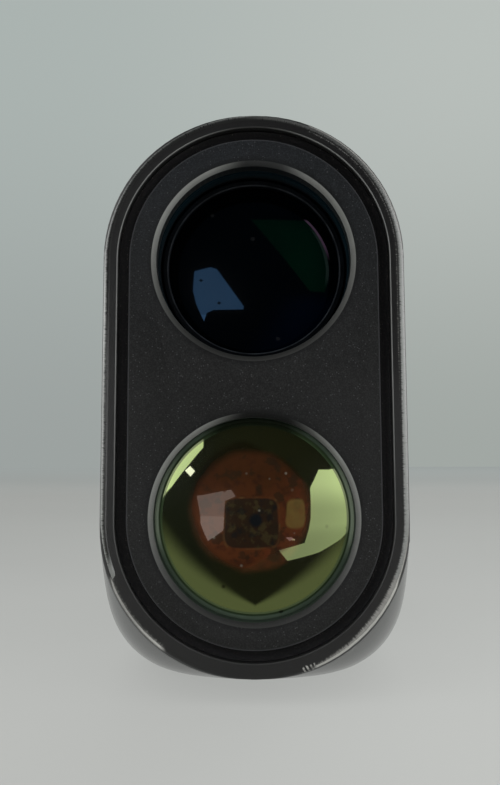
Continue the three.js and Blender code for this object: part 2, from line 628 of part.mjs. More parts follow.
// The side view of a grip pad, as a prism along X from the middle outwards.
function padPrism(side, grow) {
  const front = at(PAD_FRONT) - grow;
  const back = at(HOUSING_LENGTH - PAD_REAR_MARGIN) + grow;
  const bottom = RECEIVER_AXIS_Z - PAD_BELOW_RECEIVER - grow;
  const top = VIEW_AXIS_Z + PAD_ABOVE_VIEW + grow;
  const radius = PAD_CORNER_R + grow;
  const shape = new THREE.Shape();
  shape.moveTo(front + radius, bottom);
  shape.absarc(back - radius, bottom + radius, radius, -Math.PI / 2, 0, false);
  shape.absarc(back - radius, top - radius, radius, 0, Math.PI / 2, false);
  shape.absarc(front + radius, top - radius, radius, Math.PI / 2, Math.PI, false);
  shape.absarc(front + radius, bottom + radius, radius, Math.PI, 1.5 * Math.PI, false);
  const reach = BODY_HALF_WIDTH + PAD_PROUD + THROUGH;
  const settings = { depth: reach, bevelEnabled: false, curveSegments: SMALL_STEPS / 2 };
  const geometry = new THREE.ExtrudeGeometry(shape, settings);
  // The shape's X runs along world Y and its Y along world Z.
  geometry.applyMatrix4(new THREE.Matrix4().makeBasis(
    new THREE.Vector3(0, 1, 0),
    new THREE.Vector3(0, 0, 1),
    new THREE.Vector3(1, 0, 0),
  ));
  if (side < 0) geometry.translate(-reach, 0, 0);
  return solid(geometry);
}

function padRecess(side) {
  const skin = bodySolid(-THROUGH, HOUSING_LENGTH, -THROUGH);
  const core = bodySolid(-2 * THROUGH, HOUSING_LENGTH + THROUGH, PAD_INLAY + CLEARANCE);
  return skin.subtract(core).intersect(padPrism(side, CLEARANCE));
}

function gripPad(side) {
  const skin = bodySolid(-THROUGH, HOUSING_LENGTH, -PAD_PROUD);
  const core = bodySolid(-2 * THROUGH, HOUSING_LENGTH + THROUGH, PAD_INLAY);
  return skin.subtract(core).intersect(padPrism(side, 0));
}

function housingShell() {
  const full = bodySolid(RIM_CHAMFER, HOUSING_LENGTH, 0);
  const nose = loft([
    { depth: 0, points: outline(bodyAt(0), RIM_CHAMFER) },
    { depth: RIM_CHAMFER, points: outline(bodyAt(RIM_CHAMFER), 0) },
  ]);
  return full.add(nose)
    .subtract(rimPrism(-THROUGH, BULKHEAD_FRONT, WALL))
    .subtract(bodySolid(BULKHEAD_BACK, HOUSING_LENGTH + THROUGH, WALL));
}

// Ledges along both side walls that carry the main board.
function boardRails() {
  const bottom = BOARD_RAIL_TOP_Z - BOARD_RAIL_HEIGHT;
  const reach = BODY_HALF_WIDTH + THROUGH;
  const rail = (x0, x1) => box(x0, x1, BOARD_FRONT, BOARD_BACK, bottom, BOARD_RAIL_TOP_Z);
  return rail(-reach, -BOARD_RAIL_INNER_X).add(rail(BOARD_RAIL_INNER_X, reach));
}

// Short ledges under the button board.
function buttonRails() {
  const bottom = BUTTON_RAIL_TOP_Z - BUTTON_RAIL_HEIGHT;
  const reach = BODY_HALF_WIDTH + THROUGH;
  const front = BUTTON_ZONE_FRONT;
  const back = BUTTON_ZONE_BACK;
  const rail = (x0, x1) => box(x0, x1, front, back, bottom, BUTTON_RAIL_TOP_Z);
  return rail(-reach, -BUTTON_RAIL_INNER_X).add(rail(BUTTON_RAIL_INNER_X, reach));
}

function coverBosses() {
  const front = HOUSING_LENGTH - COVER_BOSS_LENGTH;
  return coverScrewPlaces()
    .map(([x, z]) => lengthwisePin(x, z, COVER_BOSS_R, front, HOUSING_LENGTH))
    .reduce((all, boss) => all.add(boss));
}

function mainHousing() {
  const skinDepth = WALL / 2;
  const inside = bodySolid(-THROUGH, HOUSING_LENGTH, skinDepth);
  const fittings = boardRails().add(buttonRails()).add(coverBosses()).intersect(inside);
  let housing = housingShell().add(fittings);
  for (const axisZ of [RECEIVER_AXIS_Z, VIEW_AXIS_Z]) {
    housing = housing.subtract(disc(axisZ, TUBE_BORE_R, 0, BULKHEAD_BACK + THROUGH));
  }
  for (const side of [-1, 1]) housing = housing.subtract(padRecess(side));
  housing = housing.subtract(buttonOpening(MEASURE_BUTTON_WIDTH, MEASURE_BUTTON_LENGTH,
    MEASURE_BUTTON_DEPTH));
  housing = housing.subtract(buttonOpening(MODE_BUTTON_WIDTH, MODE_BUTTON_LENGTH,
    MODE_BUTTON_DEPTH));
  const screwHole = SMALL_SCREW_R + CLEARANCE;
  for (const [x, depth] of BOARD_SCREWS) {
    const low = BOARD_RAIL_TOP_Z - BOARD_RAIL_HEIGHT - THROUGH;
    housing = housing.subtract(uprightPin(x, depth, screwHole, low, BOARD_TOP_Z));
  }
  for (const [x, depth] of BUTTON_SCREWS) {
    const low = BUTTON_RAIL_TOP_Z - BUTTON_RAIL_HEIGHT - THROUGH;
    housing = housing.subtract(uprightPin(x, depth, screwHole, low, BUTTON_BOARD_TOP_Z));
  }
  const coverHole = COVER_SCREW_R + CLEARANCE;
  const holeFront = HOUSING_LENGTH - COVER_SCREW_GRIP - CLEARANCE;
  for (const [x, z] of coverScrewPlaces()) {
    const hole = lengthwisePin(x, z, coverHole, holeFront, HOUSING_LENGTH + THROUGH);
    housing = housing.subtract(hole);
  }
  return housing;
}

function buttonOpening(width, length, depth) {
  const grown = 2 * CLEARANCE;
  return uprightOval(width + grown, length + grown, depth, FLANGE_TOP_Z, BODY_TOP_Z + THROUGH);
}

// ---- front ----

function frontPlate() {
  let plate = rimPrism(PLATE_RECESS, PLATE_BACK, WALL + CHANNEL_WIDTH);
  for (const axisZ of [RECEIVER_AXIS_Z, VIEW_AXIS_Z]) {
    const opening = [
      [0, PLATE_RECESS - THROUGH],
      [HOLE_CHAMFER_R + THROUGH, PLATE_RECESS - THROUGH],
      [LENS_HOLE_R, PLATE_RECESS + HOLE_CHAMFER],
      [LENS_HOLE_R, PLATE_BACK + THROUGH],
      [0, PLATE_BACK + THROUGH],
    ];
    plate = plate.subtract(turned(axisZ, opening));
  }
  return plate;
}

function frontGasket() {
  const front = GASKET_RECESS;
  const back = BULKHEAD_FRONT - CLEARANCE;
  const inner = rimPrism(front - THROUGH, back + THROUGH, WALL + CHANNEL_WIDTH - CLEARANCE);
  return rimPrism(front, back, WALL + CLEARANCE).subtract(inner);
}

function lockRing(axisZ) {
  const front = BULKHEAD_BACK + CLEARANCE;
  return ring(axisZ, TUBE_BORE_R, LOCK_RING_R, front, front + LOCK_RING_THICKNESS);
}

// ---- viewing side ----

function objectiveTube() {
  const seat = OBJECTIVE_EDGE_BACK + CLEARANCE;
  const stepEnd = OBJECTIVE_TUBE_STEP_DEPTH + OBJECTIVE_TUBE_STEP;
  return turned(VIEW_AXIS_Z, [
    [LENS_HOLE_R, TUBE_FRONT],
    [TUBE_FLANGE_R, TUBE_FRONT],
    [TUBE_FLANGE_R, TUBE_FRONT + TUBE_FLANGE_THICKNESS],
    [TUBE_R, TUBE_FRONT + TUBE_FLANGE_THICKNESS],
    [TUBE_R, OBJECTIVE_TUBE_STEP_DEPTH],
    [OBJECTIVE_REAR_R, stepEnd],
    [OBJECTIVE_REAR_R, OBJECTIVE_TUBE_BACK],
    [OBJECTIVE_REAR_BORE_R, OBJECTIVE_TUBE_BACK],
    [OBJECTIVE_REAR_BORE_R, seat],
    [LENS_HOLE_R, seat],
    [LENS_HOLE_R, TUBE_FRONT],
  ]);
}

function objectiveLens() {
  return lens(VIEW_AXIS_Z, OBJECTIVE_R, OBJECTIVE_EDGE_FRONT, OBJECTIVE_EDGE_BACK,
    OBJECTIVE_BULGE, OBJECTIVE_BACK_BULGE);
}

function objectiveRetainingRing() {
  const inner = OBJECTIVE_RING_INNER_R;
  return ring(VIEW_AXIS_Z, inner, OBJECTIVE_R, OBJECTIVE_RING_DEPTH, OBJECTIVE_RING_BACK);
}

// The tube's round bore is cut out of the holder's block and its collar.
function prismHolder() {
  const bottom = HOLDER_FLOOR_Z - HOLDER_WALL;
  const boreR = OBJECTIVE_REAR_R + CLEARANCE;
  const collarFront = HOLDER_FRONT - HOLDER_COLLAR;
  const block = box(-HOLDER_OUTER_X, HOLDER_OUTER_X, HOLDER_FRONT, HOLDER_BACK, bottom, HOLDER_TOP_Z);
  const cavityFront = HOLDER_FRONT + HOLDER_END_WALL;
  const cavity = box(-HOLDER_INNER_X, HOLDER_INNER_X, cavityFront, HOLDER_CAVITY_BACK,
    HOLDER_FLOOR_Z, HOLDER_TOP_Z + THROUGH);
  const disk = disc(VIEW_AXIS_Z, boreR + HOLDER_WALL, collarFront, HOLDER_FRONT + HOLDER_END_WALL);
  const laserHole = crossPin(LASER_DEPTH, LASER_CAN_R, -HOLDER_OUTER_X - THROUGH, 0);
  return block.add(disk)
    .subtract(cavity)
    .subtract(disc(VIEW_AXIS_Z, boreR, collarFront - THROUGH, HOLDER_FRONT))
    .subtract(disc(VIEW_AXIS_Z, HOLDER_WINDOW_R, collarFront, HOLDER_BACK + THROUGH))
    .subtract(laserHole);
}

// A place in the prism pair's side view, in apertures behind and above the beam's lower front corner.
function prismPoint(x, behind, above, shift = 0) {
  const depth = PRISM_FRONT + behind * PRISM_APERTURE + shift;
  const z = VIEW_AXIS_Z + (above - 0.5) * PRISM_APERTURE + shift;
  return new THREE.Vector3(x, at(depth), z);
}

// Four faces in side view: 45, 112.5, 112.5 and 90 degrees.
function halfPentaPrism() {
  const fall = Math.tan(Math.PI / 8);
  const corners = [[0, 1], [0, 0], [1, -fall], [1 + fall / 2, -fall / 2]];
  const points = [];
  for (const x of [-PRISM_HALF_WIDTH, PRISM_HALF_WIDTH]) {
    for (const [behind, above] of corners) points.push(prismPoint(x, behind, above));
  }
  return solid(new ConvexGeometry(points));
}

// A 45 degree prism whose top carries the roof: a ridge on the middle with two faces falling away.
function roofPrism() {
  const fall = Math.tan(Math.PI / 8);
  const reach = 1 + fall / 2;
  const leg = 1 + Math.SQRT1_2;
  const lower = [reach, -fall / 2];
  const back = [reach, leg - fall / 2];
  const front = [reach - leg * Math.SQRT1_2, leg * Math.SQRT1_2 - fall / 2];
  const eaves = 0.5;
  const points = [];
  for (const x of [-PRISM_HALF_WIDTH, PRISM_HALF_WIDTH]) {
    points.push(prismPoint(x, ...lower, PRISM_SHIFT));
    points.push(prismPoint(x, back[0], back[1] - eaves, PRISM_SHIFT));
    points.push(prismPoint(x, front[0] + eaves * Math.SQRT1_2, front[1] - eaves * Math.SQRT1_2,
      PRISM_SHIFT));
  }
  points.push(prismPoint(0, ...back, PRISM_SHIFT));
  points.push(prismPoint(0, ...front, PRISM_SHIFT));
  return solid(new ConvexGeometry(points));
}

function prismClamp() {
  const bottom = HOLDER_TOP_Z + CLEARANCE;
  const top = bottom + PRISM_CLAMP_THICKNESS;
  const front = HOLDER_FRONT + HOLDER_END_WALL + CLEARANCE;
  return box(-HOLDER_OUTER_X, HOLDER_OUTER_X, front, HOLDER_BACK, bottom, top);
}

function laserMount() {
  const outer = crossPin(LASER_DEPTH, LASER_BORE_R + LASER_MOUNT_WALL, -LASER_MOUNT_END_X,
    -LASER_MOUNT_X);
  const bore = crossPin(LASER_DEPTH, LASER_BORE_R, -LASER_MOUNT_END_X - THROUGH,
    -LASER_MOUNT_X + THROUGH);
  return outer.subtract(bore);
}

function laserDiode() {
  const flangeX = LASER_FLANGE_END_X - LASER_FLANGE_THICKNESS;
  const can = crossPin(LASER_DEPTH, LASER_CAN_R, -flangeX, -flangeX + LASER_CAN_LENGTH);
  return can.add(crossPin(LASER_DEPTH, LASER_FLANGE_R, -LASER_FLANGE_END_X, -flangeX));
}

function laserDriverBoard() {
  const half = LASER_BOARD_LENGTH / 2;
  const bottom = BOARD_TOP_Z + CLEARANCE;
  return box(-LASER_BOARD_X - SMALL_BOARD_THICKNESS, -LASER_BOARD_X, LASER_DEPTH - half,
    LASER_DEPTH + half, bottom, bottom + LASER_BOARD_HEIGHT);
}

function squareBar(size, front, back) {
  const half = size / 2;
  return box(-half, half, front, back, VIEW_AXIS_Z - half, VIEW_AXIS_Z + half);
}

function displayFrame() {
  const back = DISPLAY_FRAME_FRONT + DISPLAY_FRAME_THICKNESS;
  const pocketFront = back - DISPLAY_POCKET;
  return squareBar(DISPLAY_FRAME_SIZE, DISPLAY_FRAME_FRONT, back)
    .subtract(squareBar(DISPLAY_WINDOW, DISPLAY_FRAME_FRONT - THROUGH, back + THROUGH))
    .subtract(squareBar(DISPLAY_PANEL_SIZE + 2 * CLEARANCE, pocketFront, back + THROUGH));
}

function displayPanel() {
  const back = DISPLAY_FRAME_FRONT + DISPLAY_FRAME_THICKNESS - CLEARANCE;
  return squareBar(DISPLAY_PANEL_SIZE, back - DISPLAY_PANEL_THICKNESS, back);
}

// ---- receiver side ----

function receiverTube() {
  const outerR = TUBE_R;
  return turned(RECEIVER_AXIS_Z, [
    [RECEIVER_COUNTERBORE_R, TUBE_FRONT],
    [TUBE_FLANGE_R, TUBE_FRONT],
    [TUBE_FLANGE_R, TUBE_FRONT + TUBE_FLANGE_THICKNESS],
    [outerR, TUBE_FRONT + TUBE_FLANGE_THICKNESS],
    [outerR, RECEIVER_CONE_FRONT + RECEIVER_SEAT],
    [RECEIVER_CONE_R, RECEIVER_CONE_BACK],
    [RECEIVER_END_R, DETECTOR_BACK - RECEIVER_END_FLANGE],
    [RECEIVER_END_R, DETECTOR_BACK],
    [FILTER_BORE_R, DETECTOR_BACK],
    [FILTER_BORE_R, FILTER_FRONT - CLEARANCE],
    [RECEIVER_CONE_BORE_R, FILTER_FRONT - CLEARANCE],
    [RECEIVER_CONE_BORE_R, RECEIVER_CONE_BACK],
    [RECEIVER_BORE_R, RECEIVER_CONE_FRONT],
    [RECEIVER_BORE_R, RECEIVER_SEAT_DEPTH],
    [RECEIVER_COUNTERBORE_R, RECEIVER_SEAT_DEPTH],
    [RECEIVER_COUNTERBORE_R, TUBE_FRONT],
  ]);
}

function receiverLens() {
  const bulge = RECEIVER_EDGE_FRONT - RECEIVER_APEX_DEPTH;
  return lens(RECEIVER_AXIS_Z, RECEIVER_LENS_R, RECEIVER_EDGE_FRONT, RECEIVER_EDGE_BACK,
    bulge, RECEIVER_BACK_BULGE);
}

function detectorBoard() {
  const half = DETECTOR_BOARD_SIZE / 2;
  return box(-half, half, DETECTOR_BOARD_FRONT, DETECTOR_BOARD_FRONT + SMALL_BOARD_THICKNESS,
    RECEIVER_AXIS_Z - half, RECEIVER_AXIS_Z + half);
}

// ---- boards and buttons ----

// A pan-head screw that points down, with its head resting above a surface.
function downScrew([x, depth], surfaceZ) {
  const seat = surfaceZ + CLEARANCE;
  const head = uprightPin(x, depth, SMALL_SCREW_HEAD_R, seat, seat + SMALL_SCREW_HEAD);
  return head.add(uprightPin(x, depth, SMALL_SCREW_R, seat - SMALL_SCREW_LENGTH, seat));
}

function drilled(board, screws, z0, z1) {
  const hole = ([x, depth]) => uprightPin(x, depth, SMALL_SCREW_R + CLEARANCE, z0, z1);
  return screws.map(hole).reduce((rest, cut) => rest.subtract(cut), board);
}

function mainBoard() {
  const board = box(-BOARD_HALF_WIDTH, BOARD_HALF_WIDTH, BOARD_FRONT, BOARD_BACK, BOARD_BOTTOM_Z,
    BOARD_TOP_Z);
  return drilled(board, BOARD_SCREWS, BOARD_BOTTOM_Z - THROUGH, BOARD_TOP_Z + THROUGH);
}

function processorChip() {
  const bottom = BOARD_TOP_Z + CLEARANCE;
  const back = BOARD_BACK - CHIP_INSET;
  return box(-CHIP_SIZE / 2, CHIP_SIZE / 2, back - CHIP_SIZE, back, bottom, bottom + CHIP_HEIGHT);
}

function buttonBoard() {
  const front = BUTTON_ZONE_FRONT - BUTTON_BOARD_MARGIN;
  const back = BUTTON_ZONE_BACK - BUTTON_BOARD_MARGIN;
  const board = box(-BUTTON_BOARD_HALF_WIDTH, BUTTON_BOARD_HALF_WIDTH, front, back,
    BUTTON_BOARD_BOTTOM_Z, BUTTON_BOARD_TOP_Z);
  const low = BUTTON_BOARD_BOTTOM_Z - THROUGH;
  return drilled(board, BUTTON_SCREWS, low, BUTTON_BOARD_TOP_Z + THROUGH);
}

function tactSwitch(depth) {
  const half = SWITCH_SIZE / 2;
  const bottom = BUTTON_BOARD_TOP_Z + CLEARANCE;
  return box(-half, half, depth - half, depth + half, bottom, bottom + SWITCH_HEIGHT);
}

function button(width, length, depth) {
  const lip = 2 * BUTTON_FLANGE_LIP;
  const top = BODY_TOP_Z + BUTTON_PROUD;
  const cap = uprightOval(width, length, depth, FLANGE_TOP_Z - CLEARANCE, top);
  return cap.add(uprightOval(width + lip, length + lip, depth, FLANGE_BOTTOM_Z, FLANGE_TOP_Z));
}

// A flat frame around both button flanges, just under the top wall.
function buttonSeal() {
  const grown = 2 * (BUTTON_FLANGE_LIP + CLEARANCE);
  const width = Math.max(MEASURE_BUTTON_WIDTH, MODE_BUTTON_WIDTH) + grown + 2 * SEAL_MARGIN;
  const front = BUTTON_ZONE_FRONT - CLEARANCE - SEAL_MARGIN;
  const back = BUTTON_ZONE_BACK + CLEARANCE + SEAL_MARGIN;
  const top = WALL_INNER_TOP_Z - SEAL_DROP;
  const bottom = top - SEAL_THICKNESS;
  const middle = (front + back) / 2;
  const opening = (wide, long, depth) =>
    uprightOval(wide + grown, long + grown, depth, bottom - THROUGH, top + THROUGH);
  return uprightOval(width, back - front, middle, bottom, top)
    .subtract(opening(MEASURE_BUTTON_WIDTH, MEASURE_BUTTON_LENGTH, MEASURE_BUTTON_DEPTH))
    .subtract(opening(MODE_BUTTON_WIDTH, MODE_BUTTON_LENGTH, MODE_BUTTON_DEPTH));
}

// ---- rear ----

function rearSeal() {
  const back = SEAL_FRONT + REAR_SEAL_THICKNESS;
  const inner = bodySolid(SEAL_FRONT - THROUGH, back + THROUGH, WALL);
  return bodySolid(SEAL_FRONT, back, REAR_SEAL_INSET).subtract(inner);
}

function coverBlank() {
  const shoulder = COVER_BACK - COVER_EDGE_CHAMFER;
  const section = bodyAt(shoulder);
  return loft([
    { depth: COVER_FRONT, points: outline(section, 0) },
    { depth: shoulder, points: outline(section, 0) },
    { depth: COVER_BACK, points: outline(section, COVER_EDGE_CHAMFER) },
  ]);
}

// The bore for the cap's plug, with the groove that its two lugs turn in and their entry notches.
function capSocket() {
  const halfLug = CAP_LUG_WIDTH / 2 + CLEARANCE;
  const bore = disc(BATTERY_AXIS_Z, PLUG_BORE_R, COVER_FRONT - THROUGH, COVER_BACK + THROUGH);
  const groove = disc(BATTERY_AXIS_Z, GROOVE_R, GROOVE_FRONT, GROOVE_BACK);
  const notch = box(-halfLug, halfLug, GROOVE_FRONT, COVER_BACK, BATTERY_AXIS_Z - GROOVE_R,
    BATTERY_AXIS_Z + GROOVE_R);
  const sealSeat = disc(BATTERY_AXIS_Z, CAP_SEAL_R + CLEARANCE, CAP_SEAL_FRONT - CLEARANCE,
    COVER_BACK + THROUGH);
  return bore.add(groove).add(notch).add(sealSeat);
}

function rearCover() {
  let cover = coverBlank()
    .subtract(disc(VIEW_AXIS_Z, BARREL_BORE_R, COVER_FRONT - THROUGH, COVER_BACK + THROUGH))
    .subtract(capSocket());
  const headSeat = COVER_BACK - COVER_SCREW_HEAD - 2 * CLEARANCE;
  for (const [x, z] of coverScrewPlaces()) {
    const shaft = COVER_SCREW_R + CLEARANCE;
    const head = COVER_SCREW_HEAD_R + CLEARANCE;
    cover = cover.subtract(lengthwisePin(x, z, shaft, COVER_FRONT - THROUGH, COVER_BACK));
    cover = cover.subtract(lengthwisePin(x, z, head, headSeat, COVER_BACK + THROUGH));
  }
  for (const z of [BAIL_BOTTOM_Z, BAIL_BOTTOM_Z + BAIL_HEIGHT]) {
    const floor = COVER_BACK - BAIL_SOCKET - CLEARANCE;
    const socket = lengthwisePin(BAIL_X, z, BAIL_WIRE_R + CLEARANCE, floor, COVER_BACK + THROUGH);
    cover = cover.subtract(socket);
  }
  return cover;
}

function coverScrew([x, z]) {
  const seat = COVER_BACK - COVER_SCREW_HEAD - CLEARANCE;
  const head = lengthwisePin(x, z, COVER_SCREW_HEAD_R, seat, seat + COVER_SCREW_HEAD);
  return head.add(lengthwisePin(x, z, COVER_SCREW_R, HOUSING_LENGTH - COVER_SCREW_GRIP, seat));
}

// A bent wire: two legs in their sockets, joined by a bar that a cord passes behind.
function lanyardBail() {
  const legStart = at(COVER_BACK - BAIL_SOCKET);
  const barY = at(COVER_BACK + BAIL_REACH);
  const low = BAIL_BOTTOM_Z;
  const high = BAIL_BOTTOM_Z + BAIL_HEIGHT;
  const bend = BAIL_BEND_R;
  const place = (y, z) => new THREE.Vector3(BAIL_X, y, z);
  const path = new THREE.CurvePath();
  path.add(new THREE.LineCurve3(place(legStart, low), place(barY - bend, low)));
  path.add(new THREE.QuadraticBezierCurve3(place(barY - bend, low), place(barY, low),
    place(barY, low + bend)));
  path.add(new THREE.LineCurve3(place(barY, low + bend), place(barY, high - bend)));
  path.add(new THREE.QuadraticBezierCurve3(place(barY, high - bend), place(barY, high),
    place(barY - bend, high)));
  path.add(new THREE.LineCurve3(place(barY - bend, high), place(legStart, high)));
  return wire(path, BAIL_WIRE_R, BAIL_STEPS, WIRE_SIDES);
}

// A round wire along a path.
function wire(path, radius, steps, sides) {
  const shape = new THREE.Shape();
  for (let i = 0; i < sides; i += 1) {
    const angle = (2 * Math.PI * i) / sides;
    const point = [radius * Math.cos(angle), radius * Math.sin(angle)];
    if (i === 0) shape.moveTo(...point);
    else shape.lineTo(...point);
  }
  shape.closePath();
  const settings = { steps, bevelEnabled: false, extrudePath: path, curveSegments: 1 };
  return solid(new THREE.ExtrudeGeometry(shape, settings));
}

// ---- eyepiece ----

function eyepieceBarrel() {
  const grooveR = BARREL_R - SNAP_GROOVE;
  const barrel = turned(VIEW_AXIS_Z, [
    [BARREL_INNER_R, BARREL_FRONT],
    [BARREL_R, BARREL_FRONT],
    [BARREL_R, BARREL_FLANGE_FRONT],
    [BARREL_R + BARREL_FLANGE_LIP, BARREL_FLANGE_FRONT],
    [BARREL_R + BARREL_FLANGE_LIP, BARREL_FLANGE_BACK],
    [BARREL_R, BARREL_FLANGE_BACK],
    [BARREL_R, DIOPTER_BACK],
    [grooveR, DIOPTER_BACK],
    [grooveR, SLEEVE_FRONT],
    [BARREL_R, SLEEVE_FRONT],
    [BARREL_R, BARREL_BACK],
    [BARREL_INNER_R, BARREL_BACK],
    [BARREL_INNER_R, BARREL_FRONT],
  ]);
  const half = FOLLOWER_R + CLEARANCE;
  const slot = box(-half, half, FOLLOWER_DEPTH - FOCUS_TRAVEL - half,
    FOLLOWER_DEPTH + FOCUS_TRAVEL + half, VIEW_AXIS_Z, VIEW_AXIS_Z + BARREL_R + THROUGH);
  return barrel.subtract(slot);
}

// The sliding cell, with a follower pin that the dioptre ring drives through the barrel's slot.
function ocularCell() {
  const waistR = CELL_BORE_R - CELL_SHOULDER;
  const cell = turned(VIEW_AXIS_Z, [
    [CELL_BORE_R, CELL_FRONT_DEPTH],
    [CELL_R, CELL_FRONT_DEPTH],
    [CELL_R, CELL_BACK_DEPTH],
    [CELL_BORE_R, CELL_BACK_DEPTH],
    [CELL_BORE_R, EYE_EDGE_FRONT - CLEARANCE],
    [waistR, EYE_EDGE_FRONT - CLEARANCE],
    [waistR, FIELD_EDGE_BACK + CLEARANCE],
    [CELL_BORE_R, FIELD_EDGE_BACK + CLEARANCE],
    [CELL_BORE_R, CELL_FRONT_DEPTH],
  ]);
  const foot = VIEW_AXIS_Z + (CELL_BORE_R + CELL_R) / 2;
  const tip = VIEW_AXIS_Z + BARREL_R;
  return cell.add(uprightPin(0, FOLLOWER_DEPTH, FOLLOWER_R, foot, tip));
}

function fieldLens() {
  return lens(VIEW_AXIS_Z, OCULAR_R, FIELD_EDGE_FRONT, FIELD_EDGE_BACK, FIELD_FRONT_BULGE,
    FIELD_BACK_BULGE);
}

function eyeLens() {
  return lens(VIEW_AXIS_Z, OCULAR_R, EYE_EDGE_FRONT, EYE_EDGE_BACK, EYE_FRONT_BULGE, EYE_BACK_BULGE);
}

function ocularRetainingRing() {
  const back = OCULAR_RING_FRONT + OCULAR_RING_THICKNESS;
  return ring(VIEW_AXIS_Z, OCULAR_RING_INNER_R, OCULAR_R, OCULAR_RING_FRONT, back);
}

function diopterRing() {
  const shape = new THREE.Shape();
  const corners = 4 * KNURL_RIBS;
  for (let i = 0; i < corners; i += 1) {
    const angle = (2 * Math.PI * (i + 0.5)) / corners;
    const radius = i % 4 < 2 ? DIOPTER_RING_R : DIOPTER_RING_R - KNURL_DEPTH;
    const point = [radius * Math.cos(angle), radius * Math.sin(angle)];
    if (i === 0) shape.moveTo(...point);
    else shape.lineTo(...point);
  }
  shape.closePath();
  const settings = { depth: DIOPTER_RING_WIDTH, bevelEnabled: false };
  const geometry = new THREE.ExtrudeGeometry(shape, settings);
  geometry.rotateX(Math.PI / 2);
  const ribbed = solid(geometry.translate(0, at(DIOPTER_BACK), VIEW_AXIS_Z));
  const bore = disc(VIEW_AXIS_Z, BARREL_BORE_R, DIOPTER_FRONT - THROUGH, DIOPTER_BACK + THROUGH);
  return ribbed.subtract(bore);
}

function diopterSnapRing() {
  const inner = BARREL_R - SNAP_GROOVE + CLEARANCE;
  const back = SNAP_FRONT + SNAP_RING_THICKNESS;
  return ring(VIEW_AXIS_Z, inner, BARREL_R + SNAP_RING_LIP, SNAP_FRONT, back);
}

function eyecupSleeve() {
  return ring(VIEW_AXIS_Z, BARREL_BORE_R, SLEEVE_OUTER_R, SLEEVE_FRONT, SLEEVE_BACK);
}

function eyecup() {
  return turned(VIEW_AXIS_Z, [
    [EYECUP_INNER_R, SLEEVE_FRONT],
    [EYECUP_R, SLEEVE_FRONT],
    [EYECUP_R, LENGTH - EYECUP_EDGE],
    [EYECUP_R - EYECUP_EDGE, LENGTH],
    [EYECUP_MOUTH_R + EYECUP_EDGE, LENGTH],
    [EYECUP_MOUTH_R, LENGTH - EYECUP_EDGE],
    [EYECUP_MOUTH_R, LIP_FRONT],
    [EYECUP_INNER_R, LIP_FRONT],
    [EYECUP_INNER_R, SLEEVE_FRONT],
  ]);
}

// ---- battery ----

function batteryTube() {
  const flangeFront = BATTERY_TUBE_BACK - BATTERY_TUBE_FLANGE_THICKNESS;
  const flangeR = BATTERY_TUBE_R + BATTERY_TUBE_FLANGE_LIP;
  return turned(BATTERY_AXIS_Z, [
    [0, BATTERY_TUBE_FRONT],
    [BATTERY_TUBE_R, BATTERY_TUBE_FRONT],
    [BATTERY_TUBE_R, flangeFront],
    [flangeR, flangeFront],
    [flangeR, BATTERY_TUBE_BACK],
    [BATTERY_TUBE_BORE_R, BATTERY_TUBE_BACK],
    [BATTERY_TUBE_BORE_R, BATTERY_TUBE_FLOOR],
    [0, BATTERY_TUBE_FLOOR],
  ]);
}

function battery() {
  const shoulder = BATTERY_BACK - BATTERY_NUB;
  return turned(BATTERY_AXIS_Z, [
    [0, BATTERY_FRONT],
    [BATTERY_R, BATTERY_FRONT],
    [BATTERY_R, shoulder],
    [BATTERY_NUB_R, shoulder],
    [BATTERY_NUB_R, BATTERY_BACK],
    [0, BATTERY_BACK],
  ]);
}

class SpringPath extends THREE.Curve {
  getPoint(t, target = new THREE.Vector3()) {
    const angle = 2 * Math.PI * SPRING_TURNS * t;
    const rise = (SPRING_LENGTH - 2 * SPRING_WIRE_R) * t;
    const y = at(SPRING_FRONT + SPRING_WIRE_R + rise);
    return target.set(SPRING_R * Math.cos(angle), y, BATTERY_AXIS_Z + SPRING_R * Math.sin(angle));
  }
}

function batterySpring() {
  return wire(new SpringPath(), SPRING_WIRE_R, SPRING_TURN_STEPS * SPRING_TURNS, WIRE_SIDES);
}

function batteryCap() {
  const slotHalf = COIN_SLOT_WIDTH / 2;
  const slotReach = COIN_SLOT_LENGTH / 2;
  const lugHalf = CAP_LUG_WIDTH / 2;
  const plug = disc(BATTERY_AXIS_Z, CAP_PLUG_R, PLUG_FRONT, CAP_HEAD_FRONT + CLEARANCE);
  const head = disc(BATTERY_AXIS_Z, CAP_HEAD_R, CAP_HEAD_FRONT, CAP_HEAD_BACK);
  const lugs = disc(BATTERY_AXIS_Z, LUG_R, LUG_FRONT, LUG_BACK)
    .intersect(box(-LUG_R, LUG_R, LUG_FRONT, LUG_BACK, BATTERY_AXIS_Z - lugHalf,
      BATTERY_AXIS_Z + lugHalf));
  const slot = box(-slotReach, slotReach, CAP_HEAD_BACK - COIN_SLOT_DEPTH, CAP_HEAD_BACK + THROUGH,
    BATTERY_AXIS_Z - slotHalf, BATTERY_AXIS_Z + slotHalf);
  return plug.add(head).add(lugs).subtract(slot);
}

// ---- the scene ----

const rangefinder = new THREE.Group();

function addPiece(name, body, color, roughness, metalness) {
  const data = body.getMesh();
  const geometry = new THREE.BufferGeometry();
  geometry.setAttribute("position", new THREE.BufferAttribute(data.vertProperties, data.numProp));
  geometry.setIndex(new THREE.BufferAttribute(data.triVerts, 1));
  geometry.computeVertexNormals();
  const material = new THREE.MeshStandardMaterial({ color, roughness, metalness });
  const mesh = new THREE.Mesh(geometry, material);
  mesh.name = name;
  rangefinder.add(mesh);
}

